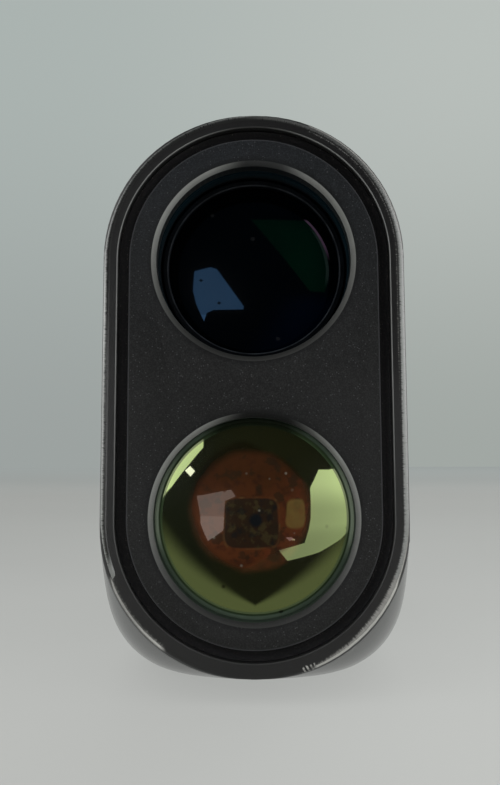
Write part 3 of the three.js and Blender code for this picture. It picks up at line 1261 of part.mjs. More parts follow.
addPiece("main_housing", mainHousing(), PAINTED_BLACK, 0.45, 0.3);
addPiece("front_plate", frontPlate(), PLATE_CHARCOAL, 0.7, 0.1);
addPiece("front_gasket", frontGasket(), RUBBER_BLACK, 0.9, 0);
addPiece("left_grip_pad", gripPad(-1), RUBBER_BLACK, 0.7, 0);
addPiece("right_grip_pad", gripPad(1), RUBBER_BLACK, 0.7, 0);

addPiece("objective_tube", objectiveTube(), ANODISED_BLACK, 0.6, 0.5);
addPiece("objective_lens", objectiveLens(), VIEW_GLASS, 0.05, 0);
addPiece("objective_retaining_ring", objectiveRetainingRing(), ANODISED_BLACK, 0.5, 0.5);
addPiece("objective_lock_ring", lockRing(VIEW_AXIS_Z), ANODISED_BLACK, 0.5, 0.5);
addPiece("prism_holder", prismHolder(), PLASTIC_GREY, 0.6, 0);
addPiece("half_penta_prism", halfPentaPrism(), CLEAR_GLASS, 0.05, 0);
addPiece("roof_prism", roofPrism(), CLEAR_GLASS, 0.05, 0);
addPiece("prism_clamp", prismClamp(), BRIGHT_STEEL, 0.35, 1);
addPiece("laser_mount", laserMount(), BRIGHT_STEEL, 0.4, 1);
addPiece("laser_diode", laserDiode(), NICKEL, 0.3, 1);
addPiece("laser_driver_board", laserDriverBoard(), BOARD_GREEN, 0.6, 0);
addPiece("display_frame", displayFrame(), PLASTIC_GREY, 0.6, 0);
addPiece("display_panel", displayPanel(), CLEAR_GLASS, 0.1, 0);

addPiece("receiver_tube", receiverTube(), ANODISED_BLACK, 0.6, 0.5);
addPiece("receiver_lens", receiverLens(), RECEIVER_GLASS, 0.05, 0);
addPiece("receiver_lock_ring", lockRing(RECEIVER_AXIS_Z), ANODISED_BLACK, 0.5, 0.5);
addPiece("bandpass_filter", disc(RECEIVER_AXIS_Z, FILTER_R, FILTER_FRONT, FILTER_BACK),
  RECEIVER_GLASS, 0.1, 0);
addPiece("detector", disc(RECEIVER_AXIS_Z, DETECTOR_R, DETECTOR_FRONT, DETECTOR_BACK), NICKEL, 0.3, 1);
addPiece("detector_board", detectorBoard(), BOARD_GREEN, 0.6, 0);

addPiece("main_board", mainBoard(), BOARD_GREEN, 0.6, 0);
BOARD_SCREWS.forEach((place, i) => {
  addPiece("board_screw_" + (i + 1), downScrew(place, BOARD_TOP_Z), BRIGHT_STEEL, 0.35, 1);
});
addPiece("processor_chip", processorChip(), ANODISED_BLACK, 0.5, 0);
addPiece("button_board", buttonBoard(), BOARD_GREEN, 0.6, 0);
addPiece("measure_switch", tactSwitch(MEASURE_BUTTON_DEPTH), BRIGHT_STEEL, 0.4, 1);
addPiece("mode_switch", tactSwitch(MODE_BUTTON_DEPTH), BRIGHT_STEEL, 0.4, 1);
BUTTON_SCREWS.forEach((place, i) => {
  const screw = downScrew(place, BUTTON_BOARD_TOP_Z);
  addPiece("button_board_screw_" + (i + 1), screw, BRIGHT_STEEL, 0.35, 1);
});
addPiece("button_seal", buttonSeal(), RUBBER_BLACK, 0.9, 0);
addPiece("measure_button", button(MEASURE_BUTTON_WIDTH, MEASURE_BUTTON_LENGTH, MEASURE_BUTTON_DEPTH),
  RUBBER_BLACK, 0.65, 0);
addPiece("mode_button", button(MODE_BUTTON_WIDTH, MODE_BUTTON_LENGTH, MODE_BUTTON_DEPTH),
  RUBBER_BLACK, 0.65, 0);

addPiece("rear_seal", rearSeal(), RUBBER_BLACK, 0.9, 0);
addPiece("rear_cover", rearCover(), PAINTED_BLACK, 0.5, 0.2);
coverScrewPlaces().forEach((place, i) => {
  addPiece("cover_screw_" + (i + 1), coverScrew(place), BRIGHT_STEEL, 0.35, 1);
});
addPiece("lanyard_bail", lanyardBail(), BRIGHT_STEEL, 0.3, 1);

addPiece("eyepiece_barrel", eyepieceBarrel(), ANODISED_BLACK, 0.5, 0.5);
addPiece("ocular_cell", ocularCell(), ANODISED_BLACK, 0.5, 0.5);
addPiece("field_lens", fieldLens(), CLEAR_GLASS, 0.05, 0);
addPiece("eye_lens", eyeLens(), CLEAR_GLASS, 0.05, 0);
addPiece("ocular_retaining_ring", ocularRetainingRing(), ANODISED_BLACK, 0.5, 0.5);
addPiece("diopter_ring", diopterRing(), PLASTIC_GREY, 0.6, 0);
addPiece("diopter_snap_ring", diopterSnapRing(), BRIGHT_STEEL, 0.35, 1);
addPiece("eyecup_sleeve", eyecupSleeve(), PLASTIC_GREY, 0.5, 0);
addPiece("eyecup", eyecup(), RUBBER_BLACK, 0.85, 0);

addPiece("battery_tube", batteryTube(), PLASTIC_GREY, 0.6, 0);
addPiece("battery_spring", batterySpring(), NICKEL, 0.3, 1);
addPiece("battery", battery(), BATTERY_WRAP, 0.4, 0.2);
addPiece("cap_contact", disc(BATTERY_AXIS_Z, CONTACT_R, CONTACT_FRONT, CONTACT_BACK), NICKEL, 0.3, 1);
addPiece("battery_cap", batteryCap(), PLASTIC_GREY, 0.6, 0);
addPiece("battery_cap_seal", ring(BATTERY_AXIS_Z, PLUG_BORE_R, CAP_SEAL_R, CAP_SEAL_FRONT,
  CAP_SEAL_BACK), RUBBER_BLACK, 0.9, 0);

export default rangefinder;
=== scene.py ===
"""Looks of a hand-held laser rangefinder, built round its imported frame.

Lengths are in millimetres while a piece is modelled, and a depth is a distance behind the rim's face.
"""

from __future__ import annotations

import json
import logging
import math
from collections.abc import Callable, Sequence
from dataclasses import dataclass, field
from enum import Enum
from functools import cached_property

import bmesh
import bpy
from mathutils import Matrix, Vector


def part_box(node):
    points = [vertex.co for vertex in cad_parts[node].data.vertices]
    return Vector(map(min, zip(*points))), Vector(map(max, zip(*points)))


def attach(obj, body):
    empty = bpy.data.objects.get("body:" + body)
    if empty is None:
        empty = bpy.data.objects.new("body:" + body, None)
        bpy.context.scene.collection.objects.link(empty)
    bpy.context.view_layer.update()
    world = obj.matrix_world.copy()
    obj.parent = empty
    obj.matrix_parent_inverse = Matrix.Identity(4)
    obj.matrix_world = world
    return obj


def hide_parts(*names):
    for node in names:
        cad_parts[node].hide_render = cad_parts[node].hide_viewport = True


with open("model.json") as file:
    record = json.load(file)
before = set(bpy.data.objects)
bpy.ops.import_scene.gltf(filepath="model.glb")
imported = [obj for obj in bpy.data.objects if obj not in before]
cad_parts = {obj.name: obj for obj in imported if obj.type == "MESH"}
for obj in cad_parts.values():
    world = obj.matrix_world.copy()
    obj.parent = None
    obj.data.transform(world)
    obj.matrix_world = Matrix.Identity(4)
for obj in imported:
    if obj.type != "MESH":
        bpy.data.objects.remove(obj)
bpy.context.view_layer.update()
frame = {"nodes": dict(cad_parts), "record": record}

logging.basicConfig(level=logging.INFO, format="%(name)s: %(message)s")
log = logging.getLogger("rangefinder")

MM = 0.001
FRONT_Y = -52.0
RECEIVER_Z = 22.35
VIEW_Z = 54.9
BATTERY_Z = 16.0
RIM_R = 19.0
ROUND_DEPTH = 0.9
STREAK_WIDTH = 0.16
STREAK_LENGTH = STREAK_WIDTH / 0.22
CORNER_STEPS = 20
LENS_STEPS = 96
WELD = 1e-4
BODY = "rangefinder_body"

Place = tuple[float, float, float]
Colour = tuple[float, float, float]
Profile = Sequence[tuple[float, float]]
Outline = Callable[[float], float]

WHITE: Colour = (1.0, 1.0, 1.0)


def at(depth: float) -> float:
    """The place on the Y axis of a depth behind the rim's face."""
    return FRONT_Y + depth


def smooth(low: float, high: float, value: float) -> float:
    """A soft step from 0 at low to 1 at high."""
    t = min(max((value - low) / (high - low), 0.0), 1.0)
    return t * t * (3.0 - 2.0 * t)


def scaled(colour: Colour, factor: float) -> Colour:
    """A colour made lighter or darker by a factor."""
    return tuple(factor * channel for channel in colour)


# ---------------------------------------------------------------- shader maths


class Num:
    """A number in a node tree, with Python's arithmetic."""

    def __init__(self, graph: Graph, socket: bpy.types.NodeSocket) -> None:
        """Wraps one output socket of a graph."""
        self.graph = graph
        self.socket = socket

    def _math(self, operation: str, *values: Num | float) -> Num:
        """Adds one Math node.

        Args:
            operation: The node's operation.
            values: Its inputs, in order.

        Returns:
            The node's result.
        """
        node = self.graph.node("ShaderNodeMath", {"operation": operation}, dict(enumerate(values)))
        return Num(self.graph, node.outputs[0])

    def __add__(self, other: Num | float) -> Num:
        """Sum."""
        return self._math("ADD", self, other)

    def __radd__(self, other: float) -> Num:
        """Reflected sum."""
        return self._math("ADD", other, self)

    def __sub__(self, other: Num | float) -> Num:
        """Difference."""
        return self._math("SUBTRACT", self, other)

    def __rsub__(self, other: float) -> Num:
        """Reflected difference."""
        return self._math("SUBTRACT", other, self)

    def __mul__(self, other: Num | float) -> Num:
        """Product."""
        return self._math("MULTIPLY", self, other)

    def __rmul__(self, other: float) -> Num:
        """Reflected product."""
        return self._math("MULTIPLY", other, self)

    def __truediv__(self, other: Num | float) -> Num:
        """Quotient."""
        return self._math("DIVIDE", self, other)

    def __pow__(self, other: float) -> Num:
        """Power."""
        return self._math("POWER", self, other)

    def size(self) -> Num:
        """The number without its sign."""
        return self._math("ABSOLUTE", self)

    def root(self) -> Num:
        """The square root."""
        return self._math("SQRT", self)

    def sine(self) -> Num:
        """The sine of the number, which is in radians."""
        return self._math("SINE", self)

    def angle(self, across: Num) -> Num:
        """The angle of a place with this height and a distance across, in radians."""
        return self._math("ARCTAN2", self, across)

    def least(self, other: Num | float) -> Num:
        """The smaller of two numbers."""
        return self._math("MINIMUM", self, other)

    def most(self, other: Num | float) -> Num:
        """The larger of two numbers."""
        return self._math("MAXIMUM", self, other)

    def step(self, low: float, high: float) -> Num:
        """A soft step from 0 at low to 1 at high; low may be the larger one.

        Args:
            low: The value that gives 0.
            high: The value that gives 1.

        Returns:
            The step, from 0 to 1.
        """
        if low > high:
            return 1.0 - self.step(high, low)
        node = self.graph.node(
            "ShaderNodeMapRange",
            {"interpolation_type": "SMOOTHSTEP"},
            {"Value": self, "From Min": low, "From Max": high},
        )
        return Num(self.graph, node.outputs["Result"])

    def band(self, middle: float, half: float, soft: float) -> Num:
        """1 inside a band round a middle value, falling to 0 outside it.

        Args:
            middle: The band's middle value.
            half: Half of its width.
            soft: The width of the fall on each side.

        Returns:
            The band's mask, from 0 to 1.
        """
        return (self - middle).size().step(half + soft, half)


Value = Num | bpy.types.NodeSocket | float | tuple[float, ...]


class Graph:
    """The node tree of one material or of the world."""

    def __init__(self, name: str, owner: bpy.types.World | None = None) -> None:
        """Starts with an empty node tree.

        Args:
            name: The name of a new material.
            owner: The world, where the tree is not a material's.
        """
        self.owner = owner or bpy.data.materials.new(name)
        self.owner.use_nodes = True
        self.tree = self.owner.node_tree
        self.tree.nodes.clear()

    def node(self, kind: str, settings: dict | None = None, values: dict | None = None) -> bpy.types.Node:
        """Adds one node: its settings first, then the values or links of its sockets.

        Args:
            kind: The node's type.
            settings: Properties of the node; a ramp's stops are (place, colour) pairs.
            values: Sockets by name or index, each a number, a colour, a Num or a socket.

        Returns:
            The node.
        """
        node = self.tree.nodes.new(kind)
        for key, value in (settings or {}).items():
            if key == "stops":
                ramp = node.color_ramp
                while len(ramp.elements) < len(value):
                    ramp.elements.new(1.0)
                for element, (position, colour) in zip(ramp.elements, value):
                    element.position = position
                    element.color = (*colour, 1.0)
            else:
                setattr(node, key, value)
        for key, value in (values or {}).items():
            socket = node.inputs[key]
            if isinstance(value, Num):
                self.tree.links.new(value.socket, socket)
            elif isinstance(value, bpy.types.NodeSocket):
                self.tree.links.new(value, socket)
            elif isinstance(value, tuple) and len(value) == 3 and socket.type == "RGBA":
                socket.default_value = (*value, 1.0)
            else:
                socket.default_value = value
        return node

    def coordinates(self) -> bpy.types.NodeSocket:
        """The object's own coordinates, in metres."""
        return self.node("ShaderNodeTexCoord").outputs["Object"]

    @cached_property
    def axes(self) -> tuple[Num, Num, Num]:
        """The object's own x, y and z, in millimetres."""
        split = self.node("ShaderNodeSeparateXYZ", None, {0: self.coordinates()})
        return tuple(Num(self, output) * (1.0 / MM) for output in split.outputs)

    @cached_property
    def path(self) -> bpy.types.Node:
        """The node that tells what kind of ray is looking."""
        return self.node("ShaderNodeLightPath")

    def ray(self, kind: str) -> Num:
        """1 for rays of a kind, such as Camera, and 0 for others."""
        return Num(self, self.path.outputs[f"Is {kind} Ray"])

    def facing(self) -> Num:
        """How far the surface turns from the eye, from 0 to 1."""
        return Num(self, self.node("ShaderNodeLayerWeight", None, {"Blend": 0.5}).outputs["Facing"])

    def noise_at(self, place: bpy.types.NodeSocket, scale: float, detail: float) -> Num:
        """Soft noise of a place."""
        node = self.node("ShaderNodeTexNoise", None, {"Vector": place, "Scale": scale, "Detail": detail})
        return Num(self, node.outputs[0])

    def noise(self, pitch: float, detail: float = 2.0, stretch: Place = (1.0, 1.0, 1.0)) -> Num:
        """Soft noise.

        Args:
            pitch: The size of its spots, in millimetres.
            detail: Its octaves.
            stretch: How many times finer it is along each axis.

        Returns:
            The noise, about 0.5.
        """
        place = self.node("ShaderNodeMapping", None, {"Vector": self.coordinates(), "Scale": stretch})
        return self.noise_at(place.outputs[0], 1.0 / (pitch * MM), detail)

    def cells(self, pitch: float, output: str = "Distance") -> Num:
        """Cells of a Voronoi pattern.

        Args:
            pitch: The size of a cell, in millimetres.
            output: The node's output.

        Returns:
            The distance or the colour's strength.
        """
        values = {"Vector": self.coordinates(), "Scale": 1.0 / (pitch * MM)}
        return Num(self, self.node("ShaderNodeTexVoronoi", {"feature": "F1"}, values).outputs[output])

    def specks(self, pitch: float, share: float) -> Num:
        """Small bright points, one in some of the cells.

        Args:
            pitch: The size of a cell, in millimetres.
            share: The share of cells that hold a speck.

        Returns:
            The specks' mask.
        """
        chosen = self.cells(pitch, "Color").step(1.0 - share, 1.0 - share * 0.6)
        return chosen * self.cells(pitch).step(0.36, 0.16)

    def mix(self, factor: Value, low: Value, high: Value) -> bpy.types.NodeSocket:
        """A colour between two colours.

        Args:
            factor: 0 for the first colour, 1 for the second.
            low: The first colour.
            high: The second colour.

        Returns:
            The mixed colour's socket.
        """
        node = self.node("ShaderNodeMix", {"data_type": "RGBA"}, {0: factor, 6: low, 7: high})
        return node.outputs[2]

    def layers(self, base: Value, *coats: tuple[Value, Value]) -> Value:
        """A colour with others laid over it in turn.

        Args:
            base: The lowest colour.
            coats: Each coat's mask and colour.

        Returns:
            The colour that shows.
        """
        for mask, colour in coats:
            base = self.mix(mask, base, colour)
        return base

    def times(self, colour: bpy.types.NodeSocket, factor: Num | float) -> bpy.types.NodeSocket:
        """A colour made lighter or darker by a number."""
        scale = {"operation": "SCALE"}
        return self.node("ShaderNodeVectorMath", scale, {0: colour, "Scale": factor}).outputs[0]

    def bump(self, height: Num, depth: float, below: Value | None = None) -> bpy.types.NodeSocket:
        """A bumped normal.

        Args:
            height: The surface's height, from 0 to 1.
            depth: What a height of 1 stands for, in millimetres.
            below: An earlier normal to add to.

        Returns:
            The normal's socket.
        """
        values: dict = {"Strength": 1.0, "Distance": depth * MM, "Height": height}
        if below is not None:
            values["Normal"] = below
        return self.node("ShaderNodeBump", None, values).outputs[0]

    def principled(self, **values: Value) -> bpy.types.Node:
        """A Principled shader, with its sockets named in words joined by underscores."""
        named = {key.replace("_", " "): value for key, value in values.items()}
        return self.node("ShaderNodeBsdfPrincipled", None, named)

    def glossy(self, colour: Colour, roughness: float) -> bpy.types.Node:
        """A mirror-like shader."""
        return self.node("ShaderNodeBsdfGlossy", None, {"Color": colour, "Roughness": roughness})

    def emission(self, colour: Value, strength: Num | float) -> bpy.types.Node:
        """A shader that gives out light."""
        return self.node("ShaderNodeEmission", None, {"Color": colour, "Strength": strength})

    def blend(self, factor: Num, low: bpy.types.Node, high: bpy.types.Node) -> bpy.types.Node:
        """A shader between two shaders, where a factor of 1 gives the second."""
        values = {0: factor, 1: low.outputs[0], 2: high.outputs[0]}
        return self.node("ShaderNodeMixShader", None, values)

    def finish(self, shader: bpy.types.Node) -> bpy.types.Material:
        """Joins a shader to the output and gives the material."""
        self.node("ShaderNodeOutputMaterial", None, {"Surface": shader.outputs[0]})
        return self.owner


def distance(across: Num, up: Num) -> Num:
    """How far a place is from an axis along Y."""
    return (across * across + up * up).root()


def stadium_radius(g: Graph) -> Num:
    """How far a place is from the line that joins the two lens axes, in millimetres."""
    x, _, z = g.axes
    return distance(x, (z - VIEW_Z).most(0.0) + (RECEIVER_Z - z).most(0.0))


def streaks(g: Graph) -> Num:
    """Noise in short streaks that point away from the line that joins the two lens axes.

    Args:
        g: The material's graph.

    Returns:
        The noise, about 0.5.
    """
    x, _, z = g.axes
    beyond = (z - VIEW_Z).most(0.0) - (RECEIVER_Z - z).most(0.0)
    run = beyond.angle(x) * RIM_R + z.most(RECEIVER_Z).least(VIEW_Z)
    out = stadium_radius(g) * (1.0 / STREAK_LENGTH)
    place = g.node("ShaderNodeCombineXYZ", None, {0: run / STREAK_WIDTH, 1: out})
    return g.noise_at(place.outputs[0], 1.0, 3.0)


# ---------------------------------------------------------------- finishes


class Finish:
    """A surface's look, which is made into a material."""

    def shader(self, g: Graph) -> bpy.types.Node:
        """The finish's shader in a graph; each finish has its own."""
        raise NotImplementedError

    def build(self, name: str) -> bpy.types.Material:
        """The finish as a material of that name."""
        g = Graph(name)
        return g.finish(self.shader(g))


@dataclass(frozen=True)
class TexturedPaint(Finish):
    """Baked black paint: finely textured on the rim, satin on the flanks, worn bright at the low corners,
    with a painted highlight along the rim's inner edge and painted shade on the rim's lower right.
    """

    base: Colour = (0.0042, 0.0043, 0.0044)
    grit: Colour = (0.018, 0.0182, 0.0185)
    speck: Colour = (0.07, 0.068, 0.064)
    # colour of a painted highlight: the thin line of light along the rim's inner edge
    lip: Colour = (0.2, 0.205, 0.2)
    scuff: Colour = (0.16, 0.16, 0.15)
    metal: Colour = (0.62, 0.615, 0.58)
    lip_r: float = 17.24
    grain: float = 0.2
    grain_depth: float = 0.016
    face_roughness: float = 0.6
    flank_roughness: float = 0.13
    worn: bool = True

    def painted_lip_highlight(self, g: Graph) -> Num:
        """A painted highlight: the fine bright line of light caught along the rim's inner edge, faint low
        down and at the crown.

        Args:
            g: The material's graph.

        Returns:
            The line's mask.
        """
        x, y, z = g.axes
        crown = (1.0 - x.size().step(1.5, 9.0)) * z.step(68.0, 71.5)
        line = stadium_radius(g).band(self.lip_r, 0.035, 0.045) * y.step(at(0.4), at(0.12))
        line = line * (0.1 + z.step(10.0, 44.0) * 0.9) * (1.0 - crown * 0.85)
        return line * (0.6 + g.noise(2.0) * 0.4)

    def bare(self, g: Graph) -> Num:
        """Where the paint is worn to the metal: a fine line low on the left, a rubbed band on the right.

        Args:
            g: The material's graph.

        Returns:
            The mask of the bare metal.
        """
        x, y, z = g.axes
        radius = stadium_radius(g)
        ragged = g.noise(0.4, 4.0) - 0.5
        streaky = streaks(g)
        left = (0.0 - x).step(10.6, 11.6) * (15.6 - z).step(0.0, 0.8)
        left = left * (0.5 + (11.0 - z).step(0.0, 5.0) * 0.5)
        right = x.step(6.9, 7.6)
        sides = left.most(right * (24.5 - z).step(0.0, 6.0) * 0.8)
        line = (radius + ragged * 0.14).step(18.78, 18.9) * sides * y.step(at(0.42), at(0.34))
        breadth = 0.06 + z.step(4.0, 12.0) * 0.5 + z.step(30.0, 45.0) * 0.15
        rubbed = (radius + breadth + (streaky - 0.5) * 0.7).step(18.66, 19.06) * right
        rubbed = rubbed * (0.22 + streaky * 0.26) * y.step(at(0.5), at(0.4))
        faint = (radius + (streaky - 0.5) * 0.9).step(18.5, 18.9) * left * 0.25
        stroke = (x + z * 0.55) * (math.tau / 0.55)
        chips = (stroke + ragged * 2.0).sine().step(-0.1, 0.35) * (radius + ragged * 0.5).step(18.35, 18.55)
        chips = chips * (8.4 - z).step(0.0, 0.8) * x.band(6.45, 0.7, 0.12)
        chips = chips * g.noise(0.5, 3.0).step(0.3, 0.6) * 0.5
        return line.most(rubbed).most(chips).most(faint) * y.step(at(1.0), at(0.7))

    def shader(self, g: Graph) -> bpy.types.Node:
        """The paint's shader.

        Args:
            g: The material's graph.

        Returns:
            The shader.
        """
        x, y, z = g.axes
        face = y.step(at(1.5), at(0.7)) if self.worn else 0.0 * y
        fine = g.noise(self.grain, 3.0)
        broad = g.noise(9.0, 3.0)
        # painted shade: the rim face's grain and specks are darkened towards its lower right
        sunk = 1.0 - x.step(-8.0, 10.0) * (34.0 - z).step(0.0, 14.0) * 0.55
        colour = g.layers(
            self.base,
            (broad.step(0.35, 0.7), scaled(self.base, 1.5)),
            (fine.step(0.5, 0.72) * face * sunk * 0.5, self.grit),
            (g.specks(0.24, 0.16) * (0.08 + face * sunk * 0.42), self.speck),
        )
        metallic: Num | float = 0.0
        rough = self.flank_roughness + face * (self.face_roughness - self.flank_roughness)
        rough = rough + ((fine - 0.5) * 0.16 + (broad - 0.5) * 0.08) * (0.3 + face * 0.7)
        if self.worn:
            bare = self.bare(g)
            scuffs = x.band(11.3, 1.0, 0.3) * y.band(at(1.7), 0.5, 0.3) * (9.0 - z).step(0.0, 0.5)
            colour = g.layers(
                colour,
                # painted highlight along the rim's inner edge
                (self.painted_lip_highlight(g), self.lip),
                (scuffs * g.noise(0.45, 3.0).step(0.56, 0.62) * 0.7, self.scuff),
                (bare, self.metal),
            )
            metallic = bare * 0.3
            rough = rough - bare * 0.1
        relief = (fine * 0.6 + g.noise(self.grain * 0.45) * 0.4) * (0.12 + face * 0.88)
        normal = g.bump(relief, self.grain_depth)
        return g.principled(
            Base_Color=colour, Metallic=metallic, Roughness=rough, Normal=normal, Specular_IOR_Level=0.5
        )


@dataclass(frozen=True)
class StripWithPaintedSheen(Finish):
    """The edge strip's black film, painted pale along its outer side as a sheen of grazing light on a worn
    edge, most of all low down.
    """

    base: Colour = (0.012, 0.0125, 0.012)
    # colour of the painted sheen along the strip's worn outer side
    pale: Colour = (0.4, 0.415, 0.4)
    speck: Colour = (0.09, 0.09, 0.085)

    def shader(self, g: Graph) -> bpy.types.Node:
        """The strip's shader.

        Args:
            g: The material's graph.

        Returns:
            The shader.
        """
        x, _, z = g.axes
        streaky = streaks(g)
        out = stadium_radius(g) + (streaky - 0.5) * 0.5
        left, right = x.step(2.0, -2.0), x.step(-2.0, 2.0)
        # painted sheen: pale bands along the outer side stand in for light caught at grazing, broad on the
        # right and fading towards the top, narrow on the left
        broad = out.step(18.18, 18.5) * right * (0.1 + z.step(76.0, 48.0) * 0.46)
        # how strong the painted sheen is along the left side, by height
        worn = 0.3 + z.step(62.0, 50.0) * 0.3 + z.band(48.0, 3.0, 6.0) * 0.25
        narrow = out.step(18.45, 18.85) * left * worn
        # the strip's low left end is painted pale as well
        tongue = left * z.step(18.5, 16.0) * 0.45
        pale = broad.most(narrow).most(tongue) * (0.8 + g.noise(0.5, 3.0) * 0.4)
        return g.principled(
            Base_Color=g.layers(self.base, (pale, self.pale), (g.specks(0.24, 0.14) * 0.3, self.speck)),
            Roughness=0.3 + (streaky - 0.5) * 0.2,
            Normal=g.bump(g.noise(0.12, 3.0), 0.008),
            Specular_IOR_Level=0.5,
        )


@dataclass(frozen=True)
class PlateCharcoal(Finish):
    """The front plate's charcoal enamel, with a fine mineral grain and brushed chamfers; a cool sheen is
    painted towards its top, a highlight along its outer edge, a shadow round the holes, and light and shade
    on the chamfers.
    """

    base: Colour = (0.0066, 0.0069, 0.0068)
    grain: Colour = (0.0182, 0.0188, 0.0186)
    # cooler colours painted towards the plate's top as a sheen
    high_base: Colour = (0.0058, 0.0070, 0.0082)
    high_grain: Colour = (0.0165, 0.0196, 0.0228)
    speck: Colour = (0.085, 0.086, 0.09)
    shadow: Colour = (0.003, 0.0034, 0.0037)
    # the brushed chamfers' metal colour, painted bright to stand in for the light they catch
    turned: Colour = (0.27, 0.277, 0.262)
    # colour of a painted highlight along the plate's outer edge
    edge: Colour = (0.05, 0.052, 0.056)
    low_bore: Colour = (0.014, 0.024, 0.0165)
    high_bore: Colour = (0.0008, 0.0034, 0.0052)
    hole_difference: float = 0.12

    def shader(self, g: Graph) -> bpy.types.Node:
        """The enamel's shader.

        Args:
            g: The material's graph.

        Returns:
            The shader.
        """
        x, y, z = g.axes
        fine = g.noise(0.15, 4.0)
        # painted sheen: the plate turns cooler towards its top
        painted_cool_sheen, upper = z.step(38.0, 72.0), z.step(38.4, 38.6)
        high_z, low_z = z - VIEW_Z, z - RECEIVER_Z
        high, low = distance(x, high_z), distance(x, low_z)
        nearest = high.least(low - self.hole_difference)
        chamfer = nearest.step(13.04, 12.97) * y.step(at(0.49), at(0.53))
        bored = nearest.step(12.46, 12.36) * y.step(at(0.86), at(0.94))
        across = (x / low) * (1.0 - upper) * 0.8 + (x / high) * upper
        rise = (low_z / low) * (1.0 - upper) + (high_z / high) * upper
        # painted light and shade on the chamfers: brightest at the upper sides, dark at the top centre and
        # darkest low down
        painted_top_shade = across.band(0.1, 0.15, 0.42) * rise.step(0.3, 0.7) * (0.97 - upper * 0.07)
        painted_chamfer_light = (1.0 - painted_top_shade) * (0.14 + rise.step(-1.0, 0.72) * 0.88)
        turned = chamfer * painted_chamfer_light * (0.62 + nearest.step(12.4, 13.04) * 0.38)
        turned = turned * (0.84 + g.noise(0.14, 3.0) * 0.32)
        # painted highlight along the plate's outer edge
        edge = stadium_radius(g).step(15.6, 15.7) * y.step(at(1.4), at(0.9))
        mineral = fine.step(0.4, 0.7) * (0.75 + g.noise(14.0) * 0.5)
        return g.principled(
            Base_Color=g.layers(
                g.mix(painted_cool_sheen, self.base, self.high_base),
                (mineral, g.mix(painted_cool_sheen, self.grain, self.high_grain)),
                (g.specks(0.26, 0.2) * 0.5, self.speck),
                (nearest.step(13.8, 13.0) * 0.6, self.shadow),
                (turned, self.turned),
                (edge * 0.5, self.edge),
                (bored, g.mix(upper, self.low_bore, self.high_bore)),
            ),
            Roughness=0.68 - chamfer * 0.16 + (fine - 0.5) * 0.2 + bored * 0.3,
            Metallic=(chamfer - bored).most(0.0) * 0.6,
            Normal=g.bump(fine, 0.014),
            Specular_IOR_Level=0.25,
        )


class Relief(Enum):
    """The moulded surfaces that rubber and plastic pieces have."""

    PLAIN = "plain"
    DIAMONDS = "diamonds"


@dataclass(frozen=True)
class Moulded(Finish):
    """Moulded rubber or plastic with a grain, a relief and some dust in it."""

    base: Colour = (0.012, 0.012, 0.013)
    dust_tone: Colour = (0.09, 0.088, 0.082)
    roughness: float = 0.6
    grain: float = 0.12
    grain_depth: float = 0.01
    relief: Relief = Relief.PLAIN
    pitch: float = 5.6
    relief_depth: float = 0.22
    dust: float = 0.3
    level: float = 0.4

    def diamonds(self, g: Graph) -> Num:
        """The diamond relief.

        Args:
            g: The material's graph.

        Returns:
            Its height, from 0 in the grooves to 1.
        """
        _, y, z = g.axes
        one, two = ((way * (math.tau / self.pitch)).sine().size() for way in (y + z, y - z))
        return one.least(two).step(0.1, 0.55)

    def shader(self, g: Graph) -> bpy.types.Node:
        """The moulding's shader.

        Args:
            g: The material's graph.

        Returns:
            The shader.
        """
        fine, broad = g.noise(self.grain, 3.0), g.noise(11.0, 4.0)
        settled = g.specks(0.5, 0.1) * self.dust
        normal = g.bump(fine, self.grain_depth)
        if self.relief is Relief.DIAMONDS:
            height = self.diamonds(g)
            settled = settled.most((1.0 - height) * g.noise(1.6, 4.0).step(0.45, 0.8) * self.dust)
            normal = g.bump(height, self.relief_depth, normal)
        mottled = (broad.step(0.3, 0.75), scaled(self.base, 1.6))
        return g.principled(
            Base_Color=g.layers(self.base, mottled, (settled, self.dust_tone)),
            Roughness=self.roughness + (fine - 0.5) * 0.2 + (broad - 0.5) * 0.2,
            Normal=normal,
            Specular_IOR_Level=self.level,
        )


@dataclass(frozen=True)
class SeamRubber(Finish):
    """The rim's gasket: near-black rubber with mineral sparkles caught in it."""

    base: Colour = (0.0026, 0.0027, 0.0033)
    mottle: Colour = (0.0085, 0.0075, 0.0072)
    mineral: Colour = (0.062, 0.054, 0.048)

    def shader(self, g: Graph) -> bpy.types.Node:
        """The gasket's shader.

        Args:
            g: The material's graph.

        Returns:
            The shader.
        """
        sparkle = g.specks(0.26, 0.24) * (0.4 + g.axes[2].step(50.0, 72.0) * 0.6)
        mottled = (g.noise(0.3, 3.0).step(0.45, 0.75), self.mottle)
        return g.principled(
            Base_Color=g.layers(self.base, mottled, (sparkle, self.mineral)),
            Roughness=0.7 - sparkle * 0.3,
            Normal=g.bump(g.noise(0.2, 3.0), 0.03),
            Specular_IOR_Level=0.25,
        )


